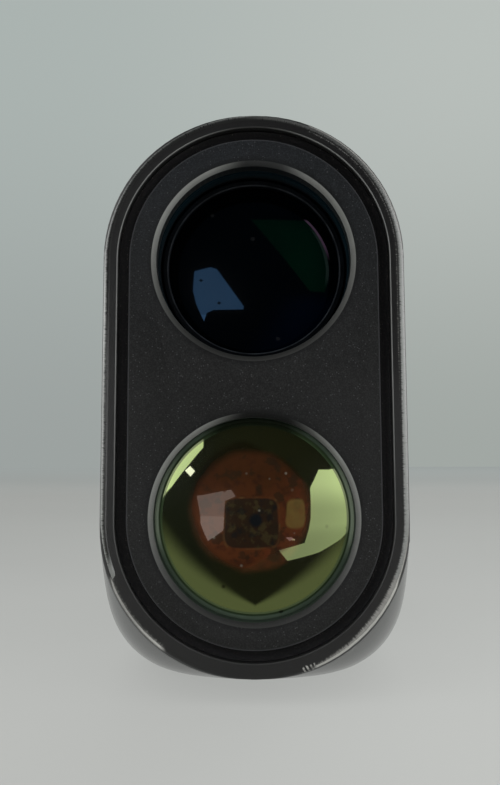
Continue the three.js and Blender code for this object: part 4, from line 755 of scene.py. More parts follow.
@dataclass(frozen=True)
class Anodised(Finish):
    """Black anodised aluminium with turning marks round its axis."""

    base: Colour = (0.0006, 0.0011, 0.0018)
    mouth: Colour = (0.0006, 0.0075, 0.0115)
    # colour of a painted highlight on the retaining ring's inner edge
    edge: Colour = (0.021, 0.024, 0.028)
    speck: Colour = (0.05, 0.05, 0.05)
    pitch: float = 0.35

    def shader(self, g: Graph) -> bpy.types.Node:
        """The aluminium's shader.

        Args:
            g: The material's graph.

        Returns:
            The shader.
        """
        x, y, z = g.axes
        up = z - VIEW_Z
        thread = (y * (math.tau / self.pitch)).sine() * 0.5 + 0.5
        broad = g.noise(3.0, 3.0)
        mouth = y.step(at(5.2), at(3.6)) * (0.25 + (up + x * 0.25).step(-6.0, 7.0) * 0.75)
        # painted highlight along the retaining ring's inner edge
        edge = distance(x, up).band(11.42, 0.05, 0.05) * y.step(at(5.45), at(5.35))
        edge = edge * (0.3 + g.noise(2.5, 3.0).step(0.35, 0.65) * 0.7)
        return g.principled(
            Base_Color=g.layers(
                self.base,
                (broad.step(0.35, 0.7), scaled(self.base, 1.8)),
                (mouth, self.mouth),
                (edge, self.edge),
                (g.specks(0.6, 0.05) * 0.3, self.speck),
            ),
            Roughness=0.52 + (broad - 0.5) * 0.3,
            Normal=g.bump(thread, 0.014, g.bump(g.noise(0.1, 2.0), 0.004)),
            Specular_IOR_Level=0.07,
        )


@dataclass(frozen=True)
class BareMetal(Finish):
    """Bright metal with fine brushing, dulled in patches."""

    base: Colour = (0.42, 0.42, 0.41)
    speck: Colour = (0.06, 0.05, 0.045)
    roughness: float = 0.32

    def shader(self, g: Graph) -> bpy.types.Node:
        """The metal's shader.

        Args:
            g: The material's graph.

        Returns:
            The shader.
        """
        brushed = g.noise(0.08, 2.0, (1.0, 0.08, 1.0))
        dull = g.noise(2.2, 4.0).step(0.45, 0.75)
        patches = (dull * 0.6, scaled(self.base, 0.55))
        return g.principled(
            Base_Color=g.layers(self.base, patches, (g.specks(0.4, 0.05), self.speck)),
            Roughness=self.roughness + (brushed - 0.5) * 0.25 + dull * 0.12,
            Metallic=1.0,
            Normal=g.bump(brushed, 0.004),
        )


@dataclass(frozen=True)
class ViewingGlass(Finish):
    """The viewing lens: dark glass whose coating throws back a little blue, with reflections painted into its
    colour on the right.
    """

    depth_tint: Colour = (0.0002, 0.0004, 0.0005)
    coating: Colour = (0.2, 0.5, 1.0)
    dusk: Colour = (0.0001, 0.0008, 0.0034)
    # a dark green reflection painted into the glass on the right
    painted_green_reflection: Colour = (0.0001, 0.0060, 0.0026)
    # a greenish and a purple-grey arc painted on the lens' right edge as reflections
    inner: Colour = (0.012, 0.021, 0.018)
    arc: Colour = (0.075, 0.045, 0.078)
    speck: Colour = (0.03, 0.03, 0.03)
    least: float = 0.02
    most: float = 0.1
    spots: tuple[tuple[float, float], ...] = ((-7.0, -1.5), (-4.6, -4.6))

    def shader(self, g: Graph) -> bpy.types.Node:
        """The lens' shader.

        Args:
            g: The material's graph.

        Returns:
            The shader.
        """
        x, y, z = g.axes
        up = z - VIEW_Z
        above = up.most(0.0)
        radius = distance(x, up)
        front, right = y.step(0.0, -10.0), x.step(0.0, 1.0)
        # painted reflection: a dark green patch on the lens' right, stronger towards the right
        green_reflection_mask = (x + up * 0.8).step(4.85, 5.25) * up.step(-3.2, -2.9)
        green_reflection_mask = green_reflection_mask * up.step(6.9, 6.5) * radius.step(10.1, 9.8)
        dim = (x - up * 0.6).step(4.0, 11.0) * up.step(-2.5, -5.0)
        strength = 0.62 + x.step(2.0, 10.0) * 0.5 + (g.noise(3.0) - 0.5) * 0.4
        # painted reflections: two thin arcs near the lens' right edge
        inner = (radius + above * 0.05).band(9.86, 0.14, 0.12) * up.step(-2.6, -0.6) * up.step(6.0, 4.6)
        arc = (radius + above * 0.075).band(10.27, 0.11, 0.1) * up.step(1.0, 3.6) * up.step(6.95, 6.6)
        colour = g.layers(
            self.depth_tint,
            (dim * front, self.dusk),
            (green_reflection_mask * front * strength, self.painted_green_reflection),
            (inner * front * right, self.inner),
            (arc * front * right, self.arc),
            (g.specks(1.1, 0.12) * 0.25, self.speck),
        )
        body = g.principled(Base_Color=colour, Roughness=0.25, Specular_IOR_Level=0.01)
        dust = 1.0 - g.specks(0.8, 0.12) * 0.7
        for spot_x, spot_up in self.spots:
            away = ((x - spot_x).size() + (up - spot_up).size() * 1.8) + (g.noise(0.3) - 0.5) * 0.5
            dust = dust * (1.0 - away.step(0.4, 0.26) * front * 0.85)
        shine = self.least + g.facing().step(0.1, 0.6) * self.most + (g.noise(4.0, 4.0) - 0.5) * 0.005
        return g.blend(shine * dust, body, g.glossy(self.coating, 0.035))


@dataclass(frozen=True)
class ReceiverGlass(Finish):
    """The receiver lens: a red-brown filter deep in dark olive glass, under a yellow-green coating, with
    reflections and shade painted on its ground edge and shade painted over the filter's top.
    """

    olive: Colour = (0.0052, 0.0047, 0.0009)
    shade: Colour = (0.0022, 0.0026, 0.0006)
    rust: Colour = (0.064, 0.0185, 0.0056)
    red: Colour = (0.075, 0.016, 0.006)
    umber: Colour = (0.014, 0.0055, 0.003)
    moss: Colour = (0.011, 0.0085, 0.004)
    amber: Colour = (0.105, 0.072, 0.019)
    well: Colour = (0.012, 0.0078, 0.0042)
    ochre: Colour = (0.03, 0.023, 0.0085)
    ink: Colour = (0.0035, 0.005, 0.0055)
    bezel: Colour = (0.075, 0.04, 0.014)
    heart: Colour = (0.004, 0.0052, 0.0062)
    mote: Colour = (0.2, 0.19, 0.15)
    # the ground edge's colours: painted reflections, lighter at its outer part and bright at the lower sides,
    # a painted shadow line and painted shade at the top
    ring: Colour = (0.04, 0.066, 0.03)
    ring_outer_painted_reflection: Colour = (0.15, 0.21, 0.15)
    ring_side_painted_reflection: Colour = (0.62, 0.75, 0.55)
    ring_painted_shadow_line: Colour = (0.004, 0.009, 0.007)
    ring_top_painted_shade: Colour = (0.002, 0.004, 0.002)
    fleck: Colour = (0.003, 0.003, 0.002)
    coating: Colour = (0.74, 0.98, 0.36)
    plain: Colour = (1.0, 0.84, 0.74)
    face_r: float = 11.54
    polish: float = 0.03

    def inside(self, g: Graph, up: Num) -> Value:
        """What shows through the glass: the filter's disc round the square detector.

        Args:
            g: The material's graph.
            up: Millimetres above the lens' axis.

        Returns:
            The colour's socket.
        """
        x = g.axes[0]
        wobble = (g.noise(3.0, 3.0) - 0.5) * 2.2
        mottle = g.noise(1.5, 5.0)
        rise = up - 1.0
        disc = (distance(x + 0.5, rise) + wobble * 0.55).step(7.9, 6.5)
        square = (((x + 0.35) * 0.92).size() ** 6.0 + (up + 0.5).size() ** 6.0) ** (1.0 / 6.0)
        redder = (x - up * 0.4).step(1.0, 5.0) * g.noise(1.3, 3.0).step(0.4, 0.65)
        amber = (((x - 5.05) * 0.85) ** 4.0 + ((up - 0.65) * 0.55) ** 4.0) ** 0.25 + wobble * 0.3
        bezel = (square + wobble * 0.14).band(3.1, 0.05, 0.14)
        bezel = bezel * (0.06 + g.noise(1.2, 3.0).step(0.45, 0.65) * 0.45)
        well = (square + wobble * 0.12).step(3.15, 2.85)
        heart = distance(x - 0.2, up + 0.15) + wobble * 0.12
        return g.layers(
            self.olive,
            (x.step(-3.0, -8.0), self.shade),
            # painted shade: the filter's rust is painted darker towards its top
            (disc * (0.6 + mottle * 0.6) * (1.0 - rise.step(-2.0, 5.0) * 0.5), self.rust),
            (disc * redder * 0.75, self.red),
            (disc * g.noise(1.6, 4.0).step(0.5, 0.68) * 0.55, self.umber),
            (disc * g.noise(1.9, 4.0).step(0.52, 0.6) * 0.6, self.moss),
            (amber.step(1.1, 0.85) * (0.7 + (mottle - 0.5) * 0.8), self.amber),
            (well * 0.9, self.well),
            (well * g.noise(0.9, 3.0).step(0.5, 0.62) * 0.75, self.ochre),
            (well * g.noise(1.3, 3.0).step(0.54, 0.64) * 0.6, self.ink),
            (bezel, self.bezel),
            (heart.step(1.05, 0.5), self.heart),
            (disc * g.specks(0.7, 0.14) * 0.5, self.mote),
        )

    def shader(self, g: Graph) -> bpy.types.Node:
        """The lens' shader.

        Args:
            g: The material's graph.

        Returns:
            The shader.
        """
        x, _, z = g.axes
        up = z - RECEIVER_Z
        edge = distance(x, up)
        rim, outer = edge.step(self.face_r - 0.05, self.face_r + 0.05), edge.step(11.95, 12.2)
        flank = (x.size() / edge).step(0.72, 1.0) * (up / edge).step(-0.45, -0.1)
        # painted reflections and shade on the ground edge round the lens' face
        ring = g.layers(
            self.ring,
            (outer, self.ring_outer_painted_reflection),
            (flank * outer * 0.8, self.ring_side_painted_reflection),
            (edge.band(12.66, 0.04, 0.06) * 0.6, self.ring_painted_shadow_line),
            ((up / edge).step(0.8, 0.96) * 0.9, self.ring_top_painted_shade),
        )
        colour = g.layers(self.inside(g, up), (rim, ring), (g.specks(1.1, 0.09) * 0.8, self.fleck))
        body = g.principled(Base_Color=colour, Roughness=0.3, Specular_IOR_Level=0.05)
        dust = 1.0 - g.specks(0.9, 0.16) * 0.75
        near = g.blend(0.027 * dust, body, g.glossy(self.plain, self.polish))
        facing = g.facing()
        coated = (facing + x.step(-2.0, 2.0) * 0.018).step(0.046, 0.056)
        coated = coated * (0.15 + facing.step(0.04, 0.12) * 0.05) * dust * (1.0 - rim * 0.75)
        return g.blend(coated, near, g.glossy(self.coating, self.polish))


@dataclass(frozen=True)
class ClearGlass(Finish):
    """Polished glass for prisms and inner lenses, with the faint bloom of a coating."""

    tint: Colour = (0.78, 0.84, 0.86)
    transmission: float = 0.85

    def shader(self, g: Graph) -> bpy.types.Node:
        """The glass' shader.

        Args:
            g: The material's graph.

        Returns:
            The shader.
        """
        return g.principled(
            Base_Color=g.mix(g.noise(6.0, 3.0).step(0.4, 0.75), self.tint, scaled(self.tint, 0.9)),
            Roughness=0.03 + g.noise(0.6, 4.0) * 0.03,
            Transmission_Weight=self.transmission,
        )


@dataclass(frozen=True)
class BoardLaminate(Finish):
    """A circuit board's green mask over copper tracks."""

    mask: Colour = (0.008, 0.05, 0.018)
    track: Colour = (0.03, 0.12, 0.04)
    pad: Colour = (0.55, 0.5, 0.36)
    pitch: float = 1.1

    def shader(self, g: Graph) -> bpy.types.Node:
        """The board's shader.

        Args:
            g: The material's graph.

        Returns:
            The shader.
        """
        x, y, z = g.axes
        across, along = ((way * (math.tau / self.pitch)).sine() for way in (x + z, y))
        track = across.step(0.45, 0.6).most(along.step(0.7, 0.8) * g.noise(5.0).step(0.5, 0.55))
        pads = g.specks(1.9, 0.3)
        return g.principled(
            Base_Color=g.layers(self.mask, (track * 0.6, self.track), (pads, self.pad)),
            Roughness=0.38 - pads * 0.1,
            Metallic=pads,
            Normal=g.bump(track + pads, 0.02, g.bump(g.noise(0.2), 0.004)),
        )


@dataclass(frozen=True)
class BatteryWrap(Finish):
    """A cell's plain shrink sleeve: two bands of colour with scuffs."""

    body: Colour = (0.06, 0.07, 0.1)
    band: Colour = (0.28, 0.2, 0.07)
    scuff: Colour = (0.2, 0.2, 0.2)
    band_front: float = 76.0

    def shader(self, g: Graph) -> bpy.types.Node:
        """The sleeve's shader.

        Args:
            g: The material's graph.

        Returns:
            The shader.
        """
        scuff = g.noise(1.4, 5.0, (1.0, 0.3, 1.0)).step(0.6, 0.7)
        banded = g.axes[1].step(at(self.band_front - 0.1), at(self.band_front + 0.1))
        return g.principled(
            Base_Color=g.layers(self.body, (banded, self.band), (scuff * 0.4, self.scuff)),
            Roughness=0.34 + scuff * 0.2,
            Metallic=0.3,
            Normal=g.bump(g.noise(0.7, 3.0), 0.02),
        )


SLOT_FINISHES: dict[str, Finish] = {
    "housing_paint": TexturedPaint(),
    "cover_paint": TexturedPaint(base=(0.0062, 0.0063, 0.0065), flank_roughness=0.24, worn=False),
    "plate_paint": PlateCharcoal(),
    "seal_rubber": SeamRubber(),
    "grip_rubber": Moulded(relief=Relief.DIAMONDS),
    "tube_anodised": Anodised(),
    "objective_glass": ViewingGlass(),
    "receiver_glass": ReceiverGlass(),
    "clear_glass": ClearGlass(),
    "holder_plastic": Moulded(base=(0.03, 0.031, 0.034), roughness=0.5, dust=0.15),
    "screw_steel": BareMetal(),
    "nickel_plate": BareMetal(base=(0.5, 0.47, 0.41), roughness=0.24),
    "board_laminate": BoardLaminate(),
    "chip_plastic": Moulded(base=(0.014, 0.014, 0.015), roughness=0.42, grain=0.06, dust=0.1),
    "button_rubber": Moulded(base=(0.017, 0.017, 0.018), roughness=0.55, dust=0.25),
    "diopter_plastic": Moulded(base=(0.014, 0.0142, 0.0148), roughness=0.48, dust=0.4),
    "eyecup_rubber": Moulded(
        base=(0.0115, 0.0113, 0.0113), roughness=0.72, grain=0.3, grain_depth=0.02, dust=0.45, level=0.3
    ),
    "battery_wrap": BatteryWrap(),
    "cap_plastic": Moulded(base=(0.015, 0.0152, 0.0158), roughness=0.5, dust=0.35),
}


class Palette:
    """The finishes by material slot, each built once."""

    def __init__(self) -> None:
        """Starts with nothing built."""
        self.built: dict[str, bpy.types.Material] = {}

    def get(self, slot: str) -> bpy.types.Material:
        """The material of a slot, built on first use.

        Args:
            slot: The material slot.

        Returns:
            The material.
        """
        if slot not in self.built:
            self.built[slot] = SLOT_FINISHES[slot].build(slot + "_finish")
        return self.built[slot]


PALETTE = Palette()


# ---------------------------------------------------------------- modelling


def quarter(steps: int, start: float = 0.0) -> list[float]:
    """The angles of a quarter turn from a start in degrees, in radians."""
    return [math.radians(start + 90.0 * step / steps) for step in range(steps + 1)]


@dataclass(frozen=True)
class Section:
    """A cross section of the body: an oblong with round corners, larger ones at the top or below."""

    half_width: float
    bottom_z: float
    top_z: float
    bottom_r: float
    top_r: float
    flat: float = 0.02

    def places(self, depth: float, inset: float, steps: int = CORNER_STEPS) -> list[Vector]:
        """Places round the section, drawn in by an inset.

        Args:
            depth: How far it is behind the rim's face.
            inset: How far it is drawn in.
            steps: Steps in each of its four corners.

        Returns:
            The places, anticlockwise from the low corner on the right.
        """
        low_z, high_z = self.bottom_z + self.bottom_r, self.top_z - self.top_r
        corners = (
            (1, low_z, self.bottom_r, -90), (1, high_z, self.top_r, 0),
            (-1, high_z, self.top_r, 90), (-1, low_z, self.bottom_r, 180),
        )
        found = []
        for side, centre_z, corner_r, start in corners:
            reach = corner_r - inset
            for angle in quarter(steps, start):
                x = side * (self.half_width - corner_r + self.flat) + (reach - self.flat) * math.cos(angle)
                found.append(Vector((x, at(depth), centre_z + reach * math.sin(angle))))
        return found


@dataclass(frozen=True)
class BodyForm:
    """How the body's section grows from the rim's stadium into a squarer body."""

    rim_r: float = RIM_R
    flare_length: float = 22.0
    side_flare: float = 1.8
    bottom_drop: float = 3.35
    top_rise: float = 1.5
    bottom_corner: float = 10.0
    top_corner: float = 14.0

    def section(self, depth: float) -> Section:
        """The section at a depth.

        Args:
            depth: How far it is behind the rim's face.

        Returns:
            The section.
        """
        flare = math.sin(math.pi / 2 * min(max(depth / self.flare_length, 0.0), 1.0))
        return Section(
            self.rim_r + self.side_flare * flare,
            self.bottom_drop * (1 - flare),
            VIEW_Z + self.rim_r + self.top_rise * flare,
            self.rim_r + (self.bottom_corner - self.rim_r) * flare,
            self.rim_r + (self.top_corner - self.rim_r) * flare,
        )

    def rim(self, depth: float, inset: float, steps: int = CORNER_STEPS) -> list[Vector]:
        """Places round the rim's own section, at any depth."""
        return self.section(0.0).places(depth, inset, steps)

    def skin(self, depth: float, inset: float) -> list[Vector]:
        """Places round the body's section at a depth."""
        return self.section(depth).places(depth, inset)


FORM = BodyForm()


def linked(name: str, data: bpy.types.ID) -> bpy.types.Object:
    """A new object in the scene.

    Args:
        name: Its name.
        data: Its mesh, light or camera.

    Returns:
        The object.
    """
    obj = bpy.data.objects.new(name, data)
    bpy.context.scene.collection.objects.link(obj)
    return obj


def meshed(name: str, bm: bmesh.types.BMesh) -> bpy.types.Object:
    """A new object of a mesh that was modelled with bmesh.

    Args:
        name: Its name.
        bm: The modelled mesh, which is freed.

    Returns:
        The object.
    """
    data = bpy.data.meshes.new(name)
    bm.to_mesh(data)
    bm.free()
    return linked(name, data)


class Shape:
    """A mesh being modelled with bmesh operators, in millimetres."""

    def __init__(self) -> None:
        """Starts empty."""
        self.bm = bmesh.new()

    def rings(self, stations: Sequence[Sequence[Vector]], closed: bool = False) -> Shape:
        """Extrudes a circle through stations, each with the same number of places.

        Args:
            stations: The places of each ring, in the same order round it.
            closed: Whether the last station meets the first; otherwise the two ends are filled.

        Returns:
            The shape.
        """
        made = bmesh.ops.create_circle(self.bm, cap_ends=False, radius=1.0, segments=len(stations[0]))
        ring = list(made["verts"])
        edges = list({e for v in ring for e in v.link_edges})
        first = edges
        for vert, place in zip(ring, stations[0]):
            vert.co = place
        for station in stations[1:]:
            grown = bmesh.ops.extrude_edge_only(self.bm, edges=edges)
            fresh = {g for g in grown["geom"] if isinstance(g, bmesh.types.BMVert)}
            following = []
            for vert, place in zip(ring, station):
                upper = next(e.other_vert(vert) for e in vert.link_edges if e.other_vert(vert) in fresh)
                upper.co = place
                following.append(upper)
            ring = following
            grown_edges = [g for g in grown["geom"] if isinstance(g, bmesh.types.BMEdge)]
            edges = [e for e in grown_edges if fresh.issuperset(e.verts)]
        if closed:
            bmesh.ops.remove_doubles(self.bm, verts=self.bm.verts[:], dist=WELD)
        else:
            for loop in (first, edges):
                bmesh.ops.edgeloop_fill(self.bm, edges=loop)
        return self.outward()

    def turned(self, profile: Profile, axis_z: float, axis_x: float = 0.0, steps: int = LENS_STEPS) -> Shape:
        """Spins a profile round an axis along Y.

        Args:
            profile: Its [radius, depth] points; it is closed where the last one is the first.
            axis_z: The axis' height.
            axis_x: The axis' place across.
            steps: Steps in the full turn.

        Returns:
            The shape.
        """
        closed = profile[0] == profile[-1]
        points = profile[:-1] if closed else profile
        verts = [self.bm.verts.new((axis_x + r, at(depth), axis_z)) for r, depth in points]
        pairs = list(zip(verts, verts[1:])) + ([(verts[-1], verts[0])] if closed else [])
        edges = [self.bm.edges.new(pair) for pair in pairs]
        bmesh.ops.spin(
            self.bm, geom=verts + edges, cent=(axis_x, 0.0, axis_z), axis=(0.0, 1.0, 0.0),
            dvec=(0.0, 0.0, 0.0), angle=math.tau, steps=steps, use_merge=True, use_duplicate=False,
        )
        bmesh.ops.remove_doubles(self.bm, verts=self.bm.verts[:], dist=WELD)
        return self.outward()

    def outward(self) -> Shape:
        """Turns the faces outwards."""
        bmesh.ops.recalc_face_normals(self.bm, faces=self.bm.faces[:])
        return self

    def soften(self, width: float, over: float = 35.0) -> None:
        """Rounds the edges that turn by more than an angle.

        Args:
            width: The rounding's width.
            over: The least angle, in degrees.
        """
        limit = math.radians(over)
        sharp = [e for e in self.bm.edges if len(e.link_faces) == 2 and e.calc_face_angle() > limit]
        bmesh.ops.bevel(
            self.bm, geom=sharp, offset=width, offset_type="OFFSET", segments=2, profile=0.5,
            affect="EDGES", clamp_overlap=True, material=-1,
        )

    def mesh(self, name: str) -> bpy.types.Object:
        """An object of the shape, in metres."""
        bmesh.ops.scale(self.bm, vec=(MM, MM, MM), verts=self.bm.verts[:])
        return meshed(name, self.bm)


def carve(obj: bpy.types.Object, cutters: Sequence[bpy.types.Object], operation: str = "DIFFERENCE") -> None:
    """Cuts other objects out of an object, or keeps what it shares with them, and removes them.

    Args:
        obj: The object that is cut.
        cutters: The objects that cut it.
        operation: The Boolean modifier's operation.
    """
    for cutter in cutters:
        cut = obj.modifiers.new("cut", "BOOLEAN")
        cut.operation = operation
        cut.solver = "EXACT"
        cut.object = cutter
        graph = bpy.context.evaluated_depsgraph_get()
        data = bpy.data.meshes.new_from_object(obj.evaluated_get(graph), depsgraph=graph)
        obj.modifiers.clear()
        obj.data = data
        bpy.data.objects.remove(cutter)


def bevelled(obj: bpy.types.Object, width: float, segments: int = 2, over: float = 60.0) -> None:
    """Rounds an object's sharp edges with a modifier.

    Args:
        obj: The object.
        width: The rounding's width.
        segments: Its segments.
        over: The least angle of an edge that is rounded, in degrees.
    """
    bevel = obj.modifiers.new("edge", "BEVEL")
    bevel.width = width * MM
    bevel.segments = segments
    bevel.limit_method = "ANGLE"
    bevel.angle_limit = math.radians(over)


def dress(obj: bpy.types.Object, slot: str, body: str, *nodes: str, crease: float = 32.0) -> None:
    """Smooths a piece, gives it its finish and its body, and lets it stand for CAD nodes.

    Args:
        obj: The piece.
        slot: The material slot that it takes its finish from.
        body: The body that it rides on.
        nodes: The CAD nodes that it stands for.
        crease: The angle over which an edge stays sharp, in degrees.
    """
    obj.data.polygons.foreach_set("use_smooth", [True] * len(obj.data.polygons))
    obj.data.set_sharp_from_angle(angle=math.radians(crease))
    obj.data.materials.clear()
    obj.data.materials.append(PALETTE.get(slot))
    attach(obj, body)
    if nodes:
        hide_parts(*nodes)
    log.info("%s on %s: %d faces, stands for %s", obj.name, body, len(obj.data.polygons), ", ".join(nodes))


def oval(width: float, length: float, depth: float, inset: float, z: float, steps: int = 12) -> list[Vector]:
    """Places round an upright oval that is long along Y.

    Args:
        width: The oval's width.
        length: Its length.
        depth: Its middle's depth.
        inset: How far it is drawn in.
        z: Its height.
        steps: Steps in each quarter.

    Returns:
        The places, anticlockwise from above.
    """
    radius = width / 2
    straight = length / 2 - radius
    found = []
    for side, start in ((1, 0.0), (-1, 180.0)):
        for step in range(2 * steps + 1):
            angle = math.radians(start + 90.0 * step / steps)
            x = (radius - inset) * math.cos(angle)
            y = at(depth) + side * straight + (radius - inset) * math.sin(angle)
            found.append(Vector((x, y, z)))
    return found


def even(radius: float) -> Outline:
    """A round outline."""
    return lambda angle: radius


def toothed(radius: float, height: float, count: int, low: float, high: float) -> Outline:
    """A round outline with teeth.

    Args:
        radius: The radius between the teeth's grooves.
        height: How far the grooves are below it.
        count: How many teeth there are.
        low: The wave's value at which a groove starts.
        high: The wave's value at which it reaches its floor.

    Returns:
        The outline.
    """
    return lambda angle: radius - height * smooth(low, high, math.cos(count * angle))


def levelled(levels: Sequence[tuple[Outline, float]], centre: tuple[float, float], count: int,
             closed: bool = False) -> Shape:
    """Extrudes through outlines round an axis along Y.

    Args:
        levels: Each ring's outline and depth.
        centre: The axis' x and z.
        count: The places in each ring.
        closed: Whether the last ring meets the first.

    Returns:
        The shape.
    """
    x, z = centre
    angles = [math.tau * i / count for i in range(count)]
    stations = [
        [Vector((x + outline(a) * math.cos(a), at(depth), z + outline(a) * math.sin(a))) for a in angles]
        for outline, depth in levels
    ]
    return Shape().rings(stations, closed)


def cylinder(x: float, z: float, radius: float, front: float, back: float, steps: int) -> bpy.types.Object:
    """A plain round cutter along Y."""
    profile = ((0.0, front), (radius, front), (radius, back), (0.0, back))
    return Shape().turned(profile, z, x, steps).mesh("cutter")


# ---------------------------------------------------------------- sub-assemblies


@dataclass
class Housing:
    """The painted shell with its rim, and the cross wall that carries both tubes."""

    wall: float = 1.6
    brim: float = 1.82
    brim_back: float = 1.05
    fillet: float = 1.0
    low_fillet: float = 0.3
    change: tuple[float, float] = (13.4, 15.2)
    lip: float = 0.1
    length: float = 83.0
    back_edge: float = 0.25
    flank_depths: tuple[float, ...] = (
        1.6, 2.4, 3.4, 4.6, 6.0, 8.0, 10.0, 12.5, 15.0, 17.5, 20.0, 22.0, 40.0, 60.0,
    )
    inner_depths: tuple[float, ...] = (60.0, 22.0, 16.0, 11.0)
    bulkhead: tuple[float, float] = (4.3, 6.7)
    bulkhead_overlap: float = 0.3
    tube_bore: float = 14.3
    pad_clearance: float = 0.3

    def rounded(self, turn: float) -> list[Vector]:
        """A station of the rim's outer rounding, which is smaller round the low corners.

        Args:
            turn: The angle from the face to the flank, in radians.

        Returns:
            The places.
        """
        low_places, high_places = (
            FORM.skin(ROUND_DEPTH * fillet * (1.0 - math.cos(turn)), fillet * (1.0 - math.sin(turn)))
            for fillet in (self.low_fillet, self.fillet)
        )
        return [low.lerp(high, smooth(*self.change, high.z)) for low, high in zip(low_places, high_places)]

    def outline(self) -> list[list[Vector]]:
        """The shell's stations.

        Returns:
            The places of the rim, the flank, the back edge, the inner wall and the rim again.
        """
        lip, brim, wall, end = self.lip, self.brim, self.wall, self.length
        face = ((lip, brim), (0.0, brim - lip), (0.0, self.fillet + 0.2))
        flank = [(depth, 0.0) for depth in (*self.flank_depths, end - self.back_edge)]
        inner = [(depth, wall) for depth in (end, *self.inner_depths, self.bulkhead[1])]
        mouth = ((self.bulkhead[0], wall), (self.brim_back, wall), (self.brim_back, brim), (lip, brim))
        return [
            *(FORM.rim(*place) for place in face),
            *(self.rounded(turn) for turn in quarter(6)),
            *(FORM.skin(*place) for place in (*flank, (end, self.back_edge), *inner)),
            *(FORM.rim(*place) for place in mouth),
        ]

    def pad_cutter(self, side: int, pads: GripPads) -> bpy.types.Object:
        """The recess that a grip pad lies in."""
        gap = self.pad_clearance
        return pads.solid(side, gap, lambda depth: -1.0, pads.inlay + gap, "recess")

    def shell(self, pads: GripPads, buttons: Buttons) -> None:
        """The shell with its recesses and the buttons' openings.

        Args:
            pads: The grip pads, whose recesses are cut.
            buttons: The buttons, whose openings are cut.
        """
        obj = Shape().rings(self.outline(), closed=True).mesh("housing_shell")
        carve(obj, [self.pad_cutter(side, pads) for side in (-1, 1)])
        carve(obj, [buttons.opening(key) for key in buttons.keys])
        dress(obj, "housing_paint", BODY, "main_housing")

    def bulkhead_wall(self) -> None:
        """The cross wall that carries both tubes."""
        front, back = self.bulkhead
        stations = [FORM.rim(depth, self.wall - self.bulkhead_overlap) for depth in self.bulkhead]
        obj = Shape().rings(stations).mesh("housing_bulkhead")
        carve(obj, [cylinder(0.0, z, self.tube_bore, front - 1, back + 1, 48) for z in (RECEIVER_Z, VIEW_Z)])
        dress(obj, "housing_paint", BODY)

    def build(self, pads: GripPads, buttons: Buttons) -> None:
        """Builds the housing's pieces."""
        self.shell(pads, buttons)
        self.bulkhead_wall()


@dataclass
class RimStrip:
    """The thin strip that wraps the rim's outer edge over the top, with a round end low on each side."""

    thickness: float = 0.06
    width: float = 1.5
    end_z: float = 14.9
    steps: int = 16
    end_share: float = 0.75
    least_end: float = 0.0004
    middle: float = 45.0
    profile: tuple[tuple[float, float], ...] = (
        (6.0, 0.0), (12.0, 0.7), (24.0, 1.0), (45.0, 1.0), (66.0, 1.0), (80.0, 0.7), (88.0, 0.0),
        (66.0, -0.6), (45.0, -0.6), (24.0, -0.6),
    )

    def path(self) -> list[tuple[float, float]]:
        """Where the strip runs, from its left end over the top to its right end.

        Returns:
            Its stations' centre z and angle in degrees.
        """
        low = math.degrees(math.asin((self.end_z - RECEIVER_Z) / FORM.rim_r))
        side = [low * i / self.steps for i in range(self.steps + 1)]
        left = [(RECEIVER_Z, 180.0 - low + angle) for angle in side]
        top = [(VIEW_Z, 180.0 - 180.0 * i / (4 * self.steps)) for i in range(4 * self.steps + 1)]
        return left + top + [(RECEIVER_Z, angle) for angle in side]

    def station(self, centre_z: float, angle: float, along: float) -> list[Vector]:
        """One ring of places round the strip's small section.

        Args:
            centre_z: The height of the rim's arc's centre.
            angle: The direction from that centre, in degrees.
            along: The distance to the strip's nearer end.

        Returns:
            The places.
        """
        narrowing = 1.0 - min(along / (self.width * self.end_share), 1.0)
        round_end = math.sqrt(max(1.0 - narrowing ** 2, self.least_end))
        turn = math.radians(angle)
        found = []
        for sweep, lift in self.profile:
            a = math.radians(self.middle + (sweep - self.middle) * round_end)
            reach = 1.0 + self.thickness * lift
            depth = ROUND_DEPTH * (1.0 - math.cos(a) * reach)
            r = FORM.rim_r - 1.0 + math.sin(a) * reach
            found.append(Vector((r * math.cos(turn), at(max(depth, 0.0)), centre_z + r * math.sin(turn))))
        return found

    def build(self) -> None:
        """Builds the strip."""
        path = self.path()
        spots = [
            Vector((FORM.rim_r * math.cos(math.radians(a)), 0.0, c + FORM.rim_r * math.sin(math.radians(a))))
            for c, a in path
        ]
        run = [0.0]
        for one, two in zip(spots, spots[1:]):
            run.append(run[-1] + (two - one).length)
        stations = [self.station(*place, min(here, run[-1] - here)) for place, here in zip(path, run)]
        obj = Shape().rings(stations).mesh("rim_strip")
        dress(obj, "cover_paint", BODY)
        obj.data.materials[0] = StripWithPaintedSheen().build("rim_strip_finish")


